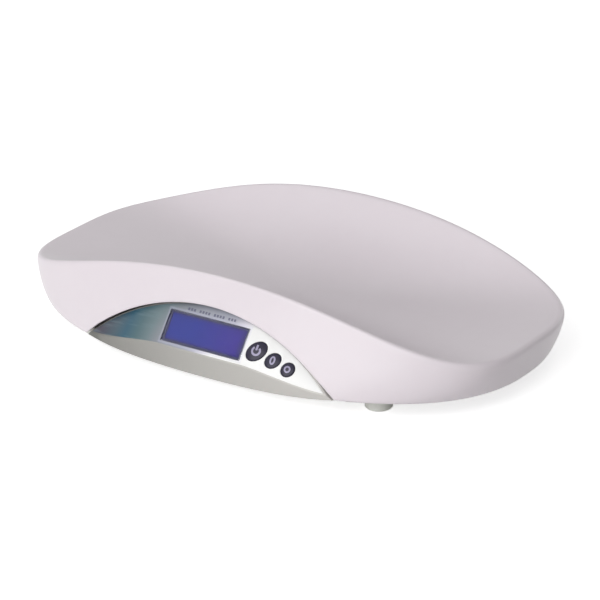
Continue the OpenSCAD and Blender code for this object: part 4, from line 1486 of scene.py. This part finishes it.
    def window(self) -> Piece:
        """The clear window with its rounded corners and broken edge."""
        edge, near_edge = self.window_broken
        levels = ((-self.window_depth, 0.0), (self.window_proud - edge, 0.0),
                  (self.window_proud - near_edge, near_edge), (self.window_proud, edge))
        loops = [at_level(self.window_outline(-inset, self.window_corner - inset / 2), level)
                 for level, inset in levels]
        window = loft("window_lens", [placed(loop, self.panel.place) for loop in loops], 20.0)
        paint(window, ClearWindow().material())
        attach(window, "base")
        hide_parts("display_window")
        return window

    def window_print(self) -> list[Piece]:
        """The print inside the window; it shares the sheet's material, so the sheet is built first.

        Returns:
            A surround in the sheet's own frame tone, a dark border within it and a dark edge round it.
        """
        dark = Moulding("border_print", (0.022, 0.024, 0.085), (0.030, 0.028, 0.10), 0.4, grain=2600.0,
                        depth=0.002, drift=0.5, dust=0.0).material()
        printed = bpy.data.materials["fascia_print"]
        whole, side = (self.window_outline(-inset, self.window_corner) for inset in self.print_edge)
        half_x = WINDOW_HALF[0] - (self.surround_left + self.surround_right) / 2
        half_y = WINDOW_HALF[1] - (self.surround_top + self.surround_bottom) / 2
        shift = (np.array([self.surround_left, self.surround_bottom])
                 - np.array([self.surround_right, self.surround_top])) / 2
        shown, display = (rounded_box(half_x - less, half_y - less, self.window_corner) + shift
                          for less in (0.0, self.border))
        pieces = []
        for name, outer, inner, top, material in (
                ("window_surround", whole, shown, self.print_top, printed),
                ("window_border", shown, display, self.print_top, dark),
                ("window_edge", whole, side, self.print_edge_top, dark)):
            low = self.print_low
            loops = [placed(at_level(outline, level), self.panel.place)
                     for outline, level in ((outer, low), (outer, top), (inner, top), (inner, low))]
            faces = grid_faces(len(loops), len(outer), wrap_rows=True)
            band = paint(make_object(name, np.concatenate(loops), faces, SHARP_DEG), material)
            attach(band, "base")
            pieces.append(band)
        return pieces

    def dress_display(self) -> None:
        """Gives the display's carried-over solids their finishes."""
        white = Moulding("backlight_white", (0.85, 0.87, 0.95), (0.78, 0.80, 0.9), 0.5, drift=0.3, dust=0.0)
        dress("lcd_glass", BackLitCell().material(), 0.15)
        dress("lcd_backlight", white.material(), 0.2)
        dress("lcd_frame", ZINC.material(), 0.2)


# ---- the keys ----------------------------------------------------------------------------------------
class Key(Enum):
    """The three keys, by their place in the row."""

    POWER = 0
    TARE = 1
    UNIT = 2


@dataclass
class Keys:
    """Three domed oval caps of falling size, each with a flange, a stem and an inlaid sign."""

    panel: Panel = field(default_factory=Panel)
    chin: Chin = field(default_factory=Chin)
    places: tuple[Pair, ...] = ((61.5, -3.0), (80.6, -7.3), (97.7, -11.5))
    halves: tuple[Pair, ...] = ((11.7, 8.6), (8.7, 7.0), (7.4, 6.6))
    turns_deg: tuple[float, ...] = (46.0, 45.0, 55.0)
    dome_radius: tuple[float, ...] = (38.0, 30.0, 26.0)
    gap: float = 0.35
    proud: float = 1.9
    travel: float = 0.8
    skin: float = 3.2
    skin_gap: float = 2.4
    board_z: float = -11.9
    switch_height: float = 4.4
    switch_gap: float = 0.1
    flange: float = 1.1
    edge: float = 0.9
    stem: float = 1.8
    stem_chamfer: float = 0.25
    stem_foot: float = 0.85
    hole_span: Pair = (-9.0, 6.0)
    chin_inset: float = 2.8
    post_at: tuple[Pair, ...] = ((-2, 8), (-12, -14))
    post_radius: float = 2.2
    post_top: float = -1.8
    around: int = 96
    stroke: float = 0.12
    sign_proud: float = 0.05
    sign_sunk: float = 0.25
    crease_deg: float = 35.0

    @property
    def middle_x(self) -> float:
        """Where the keys' own frame stands along the panel."""
        return (self.places[0][0] + self.places[2][0]) / 2

    @property
    def end_faces(self) -> Pair:
        """Levels of the panel's face at the first key and at the last."""
        return self.panel.face(self.places[0][0]), self.panel.face(self.places[2][0])

    @property
    def lean(self) -> float:
        """How far the keys' frame leans with the panel's fall."""
        first, last = self.end_faces
        return math.atan((first - last) / (self.places[2][0] - self.places[0][0]))

    @property
    def frame(self) -> Matrix:
        """The keys' own frame, in millimetres."""
        shift = Matrix.Translation((self.middle_x, 0, sum(self.end_faces) / 2))
        return self.panel.place @ shift @ Matrix.Rotation(self.lean, 4, "Y")

    def place(self, key: Key) -> Matrix:
        """The frame of one key, turned along its long axis.

        Args:
            key: which key.

        Returns:
            Where that frame lies, in millimetres.
        """
        x, y = self.places[key.value]
        along = (x - self.middle_x) / math.cos(self.lean)
        turn = Matrix.Rotation(math.radians(self.turns_deg[key.value]), 4, "Z")
        return self.frame @ Matrix.Translation((along, y, 0)) @ turn

    def oval(self, key: Key, more: float) -> np.ndarray:
        """A key's outline, widened by more."""
        return ring(self.around) * (np.array(self.halves[key.value]) + more)

    def holes(self) -> list[Piece]:
        """The prisms that cut the keys' holes."""
        return [prism("key_hole", self.oval(key, self.gap), *self.hole_span, self.place(key)) for key in Key]

    def posts(self) -> list[Piece]:
        """The posts that carry the key board."""
        return [prism("post", self.post_radius * ring(24), self.board_z, self.post_top,
                      self.frame @ Matrix.Translation((*post, 0))) for post in self.post_at]

    def dome(self, key: Key, outline: np.ndarray) -> np.ndarray:
        """Heights of the domed top over points of a key's own frame."""
        radius = self.dome_radius[key.value]
        return self.proud - radius + np.sqrt(radius ** 2 - (outline ** 2).sum(axis=1))

    def clear_of_chin(self, points: np.ndarray) -> np.ndarray:
        """Keeps a flange's points behind the chin's inner face."""
        return np.array([(x, max(y, self.chin.y(x, z, self.chin_inset)), z) for x, y, z in points])

    def cap(self, key: Key) -> Piece:
        """One cap, from its stem's foot to the middle of its dome.

        Args:
            key: which key.

        Returns:
            The new piece.
        """
        flange_z = -self.skin - self.skin_gap
        flange_top = flange_z + self.flange
        stem_z = self.board_z + self.switch_height + self.travel + self.switch_gap
        oval, wide, shaft = self.oval(key, 0.0), self.oval(key, self.flange), self.stem * ring(self.around)
        inner = oval * (1 - self.edge / np.linalg.norm(oval, axis=1, keepdims=True))
        rim = self.dome(key, oval)
        loops = [at_level(outline, level) for outline, level in (
            (shaft * self.stem_foot, stem_z), (shaft, stem_z + self.stem_chamfer), (shaft, flange_z),
            (wide, flange_z), (wide, flange_top), (oval, flange_top))]
        loops += bend(at_level(oval, rim - self.edge), at_level(oval, rim),
                      at_level(inner, self.dome(key, inner)), 6)
        loops += [at_level(inner * s, self.dome(key, inner * s)) for s in np.linspace(0.92, 0.08, 12)]
        place = self.place(key)
        poles = placed(np.array([(0, 0, stem_z), (0, 0, self.proud)]), place)
        return poled_loft(f"key_cap_{key.name.lower()}",
                          [self.clear_of_chin(placed(loop, place)) for loop in loops], poles, self.crease_deg)

    def sign_paths(self, key: Key) -> list[list[Pair]]:
        """The strokes of a key's sign: generic signs, no letters.

        Args:
            key: which key.

        Returns:
            The strokes, each as points of the key's unturned frame.
        """
        half = self.halves[key.value][1]
        if key is Key.POWER:
            return [arc(0.46 * half, 130, 410), [(0, half * (0.08 + 0.08 * i)) for i in range(9)]]
        if key is Key.TARE:
            return [arc(0.50 * half, 0, 360, 0.58)]
        return [arc(0.40 * half, 0, 360)]

    def sign(self, key: Key) -> Piece:
        """The inlaid strokes, which follow the dome and stand a little out of it.

        Args:
            key: which key.

        Returns:
            The new piece.
        """
        place = self.place(key)
        unturn = Matrix.Rotation(-math.radians(self.turns_deg[key.value]), 4, "Z")
        width = self.stroke * self.halves[key.value][1]
        corners = ((1, self.sign_proud), (-1, self.sign_proud), (-1, -self.sign_sunk), (1, -self.sign_sunk))
        points, faces = [], []
        for path in self.sign_paths(key):
            line = placed(at_level(np.array(path), 0.0), unturn)[:, :2]
            closed = np.linalg.norm(line[0] - line[-1]) < TINY
            ahead = np.gradient(line, axis=0)
            if closed:
                ahead[0] = ahead[-1] = line[1] - line[-2]
            side = np.column_stack([-ahead[:, 1], ahead[:, 0]])
            side *= width / np.linalg.norm(side, axis=1, keepdims=True)
            first, count = len(points), len(line)
            for way, lift in corners:
                edge = line + way * side
                points += list(placed(at_level(edge, self.dome(key, edge) + lift), place))
            faces += [tuple(first + i for i in face) for face in grid_faces(4, count, True, False)]
            if not closed:
                faces += [tuple(first + r * count for r in range(4)),
                          tuple(first + r * count + count - 1 for r in (3, 2, 1, 0))]
        return make_object(f"key_sign_{key.name.lower()}", np.array(points), faces, self.crease_deg)

    def build(self) -> list[Piece]:
        """Builds the caps and their signs."""
        navy = Moulding("button_dark", (0.010, 0.008, 0.026), (0.018, 0.014, 0.040), 0.34, grain=2200.0,
                        depth=0.004, drift=0.5, dust=0.03, coat=0.1, specular=0.25).material()
        pale = Moulding("sign_ink", (0.36, 0.33, 0.48), (0.30, 0.27, 0.41), 0.4, grain=2500.0, depth=0.002,
                        dust=0.0).material()
        pieces = []
        for key in Key:
            body = f"button_{key.name.lower()}"
            cap, sign = paint(self.cap(key), navy), paint(self.sign(key), pale)
            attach(cap, body)
            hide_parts(body)
            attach(sign, body)
            pieces += [cap, sign]
        return pieces


# ---- the base, the weighing gear and the electronics -------------------------------------------------
ZINC = Metal("zinc_steel", (0.60, 0.61, 0.62), (0.52, 0.53, 0.50), 0.38)
DARK_STEEL = Metal("dark_steel", (0.16, 0.165, 0.18), (0.20, 0.19, 0.18), 0.34, lines=1400.0)
PART_BLACK = Moulding("part_black", (0.020, 0.020, 0.022), (0.032, 0.032, 0.034), 0.45, dust=0.05)
SOCKET_CREAM = Moulding("socket_cream", (0.80, 0.76, 0.66), (0.72, 0.68, 0.56), 0.45, dust=0.02)


@dataclass
class Base:
    """The pan, the battery door, the feet and the fasteners."""

    pan_edge: float = 0.45
    door_edge: float = 0.3
    foot_edge: float = 0.35
    screw_edge: float = 0.2

    def build(self) -> None:
        """Dresses the base's solids."""
        grey = Moulding("housing_grey", (0.52, 0.50, 0.47), (0.46, 0.45, 0.43), 0.46, grain=1500.0,
                        depth=0.014, dust=0.02).material()
        dress("base_pan", grey, self.pan_edge)
        dress("battery_door", grey, self.door_edge)
        rubber = Moulding("foot_rubber", (0.80, 0.81, 0.76), (0.72, 0.73, 0.68), 0.62, grain=900.0,
                          depth=0.03, drift=0.5, dust=0.12).material()
        for corner in ("front_left", "front_right", "rear_left", "rear_right"):
            dress(f"foot_{corner}", rubber, self.foot_edge)
        dark = DARK_STEEL.material()
        for node in ("foot_screws", "housing_screws", "cell_bolts_lower", "cell_bolts_upper", "tray_screws",
                     "overload_stops", "board_screws", "key_board_screws"):
            dress(node, dark, self.screw_edge)


@dataclass
class WeighingGear:
    """The chassis, the load cell with its spacers and the cross that carries the tray."""

    plate_edge: float = 0.35
    part_edge: float = 0.4
    coat_edge: float = 0.5

    def build(self) -> None:
        """Dresses the weighing gear's solids."""
        zinc = ZINC.material()
        for node in ("chassis_plate", "platform_frame", "cell_spacer_lower", "cell_spacer_upper"):
            dress(node, zinc, self.plate_edge)
        for node in ("foot_nuts", "stop_nuts"):
            dress(node, zinc, self.part_edge)
        aluminium = Metal("cell_aluminium", (0.78, 0.79, 0.80), (0.70, 0.71, 0.73), 0.30, lines=1600.0,
                          depth=0.006)
        dress("load_cell", aluminium.material(), self.part_edge)
        sealing = Moulding("gauge_coat", (0.85, 0.85, 0.80), (0.78, 0.78, 0.70), 0.5, grain=700.0, depth=0.05)
        dress("gauge_cover", sealing.material(), self.coat_edge)
        bare = Moulding("standoff_plastic", (0.45, 0.43, 0.41), (0.38, 0.37, 0.35), 0.5)
        dress("tray_standoffs", bare.material(), self.part_edge)


@dataclass
class Electronics:
    """The boards and what stands on them."""

    board_edge: float = 0.1
    part_edge: float = 0.2
    socket_edge: float = 0.25
    clip_edge: float = 0.3

    def build(self) -> None:
        """Dresses the boards, chips, sockets, switches, clips and the ribbon."""
        green = Board().material()
        dress("main_board", green, self.board_edge)
        dress("key_board", green, self.board_edge)
        black, cream = PART_BLACK.material(), SOCKET_CREAM.material()
        for node in ("board_chips", "buzzer", "key_switches"):
            dress(node, black, self.part_edge)
        dress("board_sockets", cream, self.socket_edge)
        dress("cable_clips", cream, self.clip_edge)
        dress("key_cable", RibbonCable().material())


@dataclass
class BatteryBay:
    """The holder, its contacts and the four cells."""

    cells: int = 4
    holder_edge: float = 0.4
    plate_edge: float = 0.2

    def build(self) -> None:
        """Dresses the battery bay."""
        dress("battery_holder", PART_BLACK.material(), self.holder_edge)
        contact = Metal("contact_steel", (0.68, 0.68, 0.66), (0.60, 0.60, 0.57), 0.28).material()
        dress("battery_springs", contact)
        dress("battery_plates", contact, self.plate_edge)
        jacket = BatteryJacket().material()
        for i in range(self.cells):
            dress(f"battery_{i + 1}", jacket)


# ---- wiring ---------------------------------------------------------------------------------------------
CELL_ROUTE = [(-40, 0, 25), (-44, 0, 25), (-50, -4, 24.5), (-56, -11, 23), (-60, -20, 20.5), (-62, -30, 18.6),
              (-63, -45, 18), (-63, -60, 18), (-63, -75, 18), (-62, -88, 18), (-60, -98, 18.5),
              (-57, -106, 20), (-54, -112, 23.5), (-51, -117, 26.5), (-48.5, -124, 28), (-46.5, -131, 28.5),
              (-46, -137.6, 29.9), (-46, -143.1, 34.3)]
POWER_ROUTE = [(16, 80.5, 20), (16, 76, 20), (17, 70, 19.2), (20, 60, 18), (24, 45, 17.6), (30, 30, 17.6),
               (46, 12, 17.6), (58, -6, 17.6), (64, -25, 17.6), (64, -45, 17.6), (62, -65, 17.6),
               (54, -85, 17.6), (40, -98, 18.5), (10, -106, 22), (-8, -113, 28), (-20, -120, 34),
               (-28, -127, 38.5), (-34, -133, 42.5), (-38, -136.3, 45), (-42, -136.3, 45.8)]


@dataclass
class Lead:
    """A round lead that the object holds all the way, swept along its route."""

    name: str
    node: str
    route: list[Triple]
    diameter: float
    finish: Moulding
    lift: float = 0.0
    sides: int = 16
    steps: int = 5

    def smooth_route(self) -> np.ndarray:
        """The route with a smooth curve through its points."""
        knots = np.array(self.route, float) + np.array([0, 0, self.lift])
        padded = np.vstack([2 * knots[0] - knots[1], knots, 2 * knots[-1] - knots[-2]])
        points = []
        for a, b, c, d in zip(padded, padded[1:], padded[2:], padded[3:]):
            for t in np.arange(self.steps) / self.steps:
                points.append(0.5 * (2 * b + (c - a) * t + (2 * a - 5 * b + 4 * c - d) * t ** 2
                                     + (3 * b - a - 3 * c + d) * t ** 3))
        return np.array(points + [knots[-1]])

    def build(self) -> Piece:
        """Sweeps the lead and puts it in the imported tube's place."""
        line = self.smooth_route()
        ahead = np.gradient(line, axis=0)
        ahead /= np.linalg.norm(ahead, axis=1, keepdims=True)
        side = np.cross(ahead[0], [0.0, 0.0, 1.0])
        circle = ring(self.sides) * self.diameter / 2
        loops = []
        for point, way in zip(line, ahead):
            side = side - way * (side @ way)
            side /= np.linalg.norm(side)
            loops.append(point + circle[:, :1] * side + circle[:, 1:] * np.cross(way, side))
        lead = paint(loft(self.name, loops), self.finish.material())
        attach(lead, "base")
        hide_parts(self.node)
        return lead


def build_wiring() -> list[Piece]:
    """Builds the load cell's cable and the two battery leads."""
    grey = Moulding("cable_grey", (0.055, 0.055, 0.062), (0.08, 0.08, 0.085), 0.5, grain=1200.0)
    red = Moulding("lead_red", (0.42, 0.022, 0.016), (0.34, 0.02, 0.016), 0.42, grain=1800.0)
    black = Moulding("lead_black", (0.018, 0.018, 0.019), (0.03, 0.03, 0.03), 0.42, grain=1800.0)
    leads = [Lead("cell_cable", "load_cell_cable", CELL_ROUTE, 3.0, grey),
             Lead("red_lead", "battery_lead_red", POWER_ROUTE, 1.6, red),
             Lead("black_lead", "battery_lead_black", POWER_ROUTE, 1.6, black, lift=2.0)]
    return [lead.build() for lead in leads]


# ---- studio --------------------------------------------------------------------------------------------
@dataclass
class Studio:
    """The pale floor, the plain light and the camera at the photograph's angle."""

    azimuth_deg: float = 34.90
    elevation_deg: float = 23.77
    roll_deg: float = -1.22
    distance: float = 2.67
    farthest: float = 50.0
    lens: float = 158.4
    shift: Pair = (0.0098, 0.0495)
    floor_half: float = 4.0
    floor_glow: float = 0.70
    ambient: float = 0.23
    key_power: float = 242.0
    key_from: Triple = (-0.03, -0.88, 0.46)
    fill_power: float = 50.0
    fill_from: Triple = (-0.35, -0.55, 0.76)
    rear_power: float = 70.0
    rear_from: Triple = (0.15, 0.97, 0.13)
    lamp_distance: float = 6.0
    lamp_size: float = 5.0

    def build(self) -> None:
        """Sets the floor, the world, the lamps and the camera."""
        self.floor()
        self.world()
        self.lamp("key_lamp", self.key_from, self.key_power)
        self.lamp("fill_lamp", self.fill_from, self.fill_power)
        self.lamp("rear_lamp", self.rear_from, self.rear_power)
        self.camera()
        bpy.context.scene.view_settings.view_transform = "Standard"

    def floor(self) -> None:
        """A white floor that keeps the object's shadow."""
        half = self.floor_half / MM
        corners = half * np.array([(-1, -1, 0), (1, -1, 0), (1, 1, 0), (-1, 1, 0)], float)
        floor = make_object("studio_floor", corners, [(0, 1, 2, 3)])
        material, graph, shader = new_material("studio_floor")
        graph.feed(shader, Base_Color=(0.8, 0.8, 0.8, 1), Roughness=0.9, Emission_Color=(1, 1, 1, 1),
                   Emission_Strength=graph.times(graph.direct_ray(), self.floor_glow))
        paint(floor, material)

    def world(self) -> None:
        """A plain white surround that the camera, gloss and glass see at full strength."""
        world = bpy.data.worlds.new("studio")
        world.use_nodes = True
        graph = Graph(world.node_tree)
        strength = graph.span(graph.direct_ray(), 0.0, 1.0, self.ambient, 1.0)
        light = graph.node("ShaderNodeBackground", None, Color=(1, 1, 1, 1), Strength=strength)
        graph.node("ShaderNodeOutputWorld", None, Surface=light.outputs[0])
        bpy.context.scene.world = world

    def lamp(self, name: str, source: Triple, power: float) -> None:
        """A soft square lamp aimed at the object.

        Args:
            name: the lamp's name.
            source: the way from the object to the lamp.
            power: its power in watts.
        """
        light = bpy.data.lights.new(name, "AREA")
        light.energy = power
        light.size = self.lamp_size
        lamp = bpy.data.objects.new(name, light)
        away = Vector(source).normalized()
        lamp.location = away * self.lamp_distance
        lamp.rotation_euler = away.to_track_quat("Z", "Y").to_euler()
        bpy.context.scene.collection.objects.link(lamp)

    def camera(self) -> None:
        """The camera, which looks at the origin from the photograph's side and height."""
        az, el, roll = (math.radians(v) for v in (self.azimuth_deg, self.elevation_deg, self.roll_deg))
        back = Vector((math.sin(az) * math.cos(el), -math.cos(az) * math.cos(el), math.sin(el)))
        right = Vector((math.cos(az), math.sin(az), 0))
        up = back.cross(right)
        rolled_right = right * math.cos(roll) + up * math.sin(roll)
        rolled_up = -right * math.sin(roll) + up * math.cos(roll)
        lens = bpy.data.cameras.new("camera")
        lens.lens = self.lens
        lens.shift_x, lens.shift_y = self.shift
        lens.clip_end = self.farthest
        camera = bpy.data.objects.new("camera", lens)
        turn = Matrix((rolled_right, rolled_up, back)).transposed().to_4x4()
        camera.matrix_world = Matrix.Translation(back * self.distance) @ turn
        bpy.context.scene.collection.objects.link(camera)
        bpy.context.scene.camera = camera


def main() -> None:
    """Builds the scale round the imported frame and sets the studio."""
    logging.basicConfig(level=logging.INFO, format="%(name)s: %(message)s")
    tray = Tray()
    keys = Keys()
    pieces = [tray.build(), *Console(tray).build(keys), *keys.build(), *build_wiring()]
    for assembly in (Base(), WeighingGear(), Electronics(), BatteryBay()):
        assembly.build()
    Studio().build()


if __name__ == "__main__":
    main()
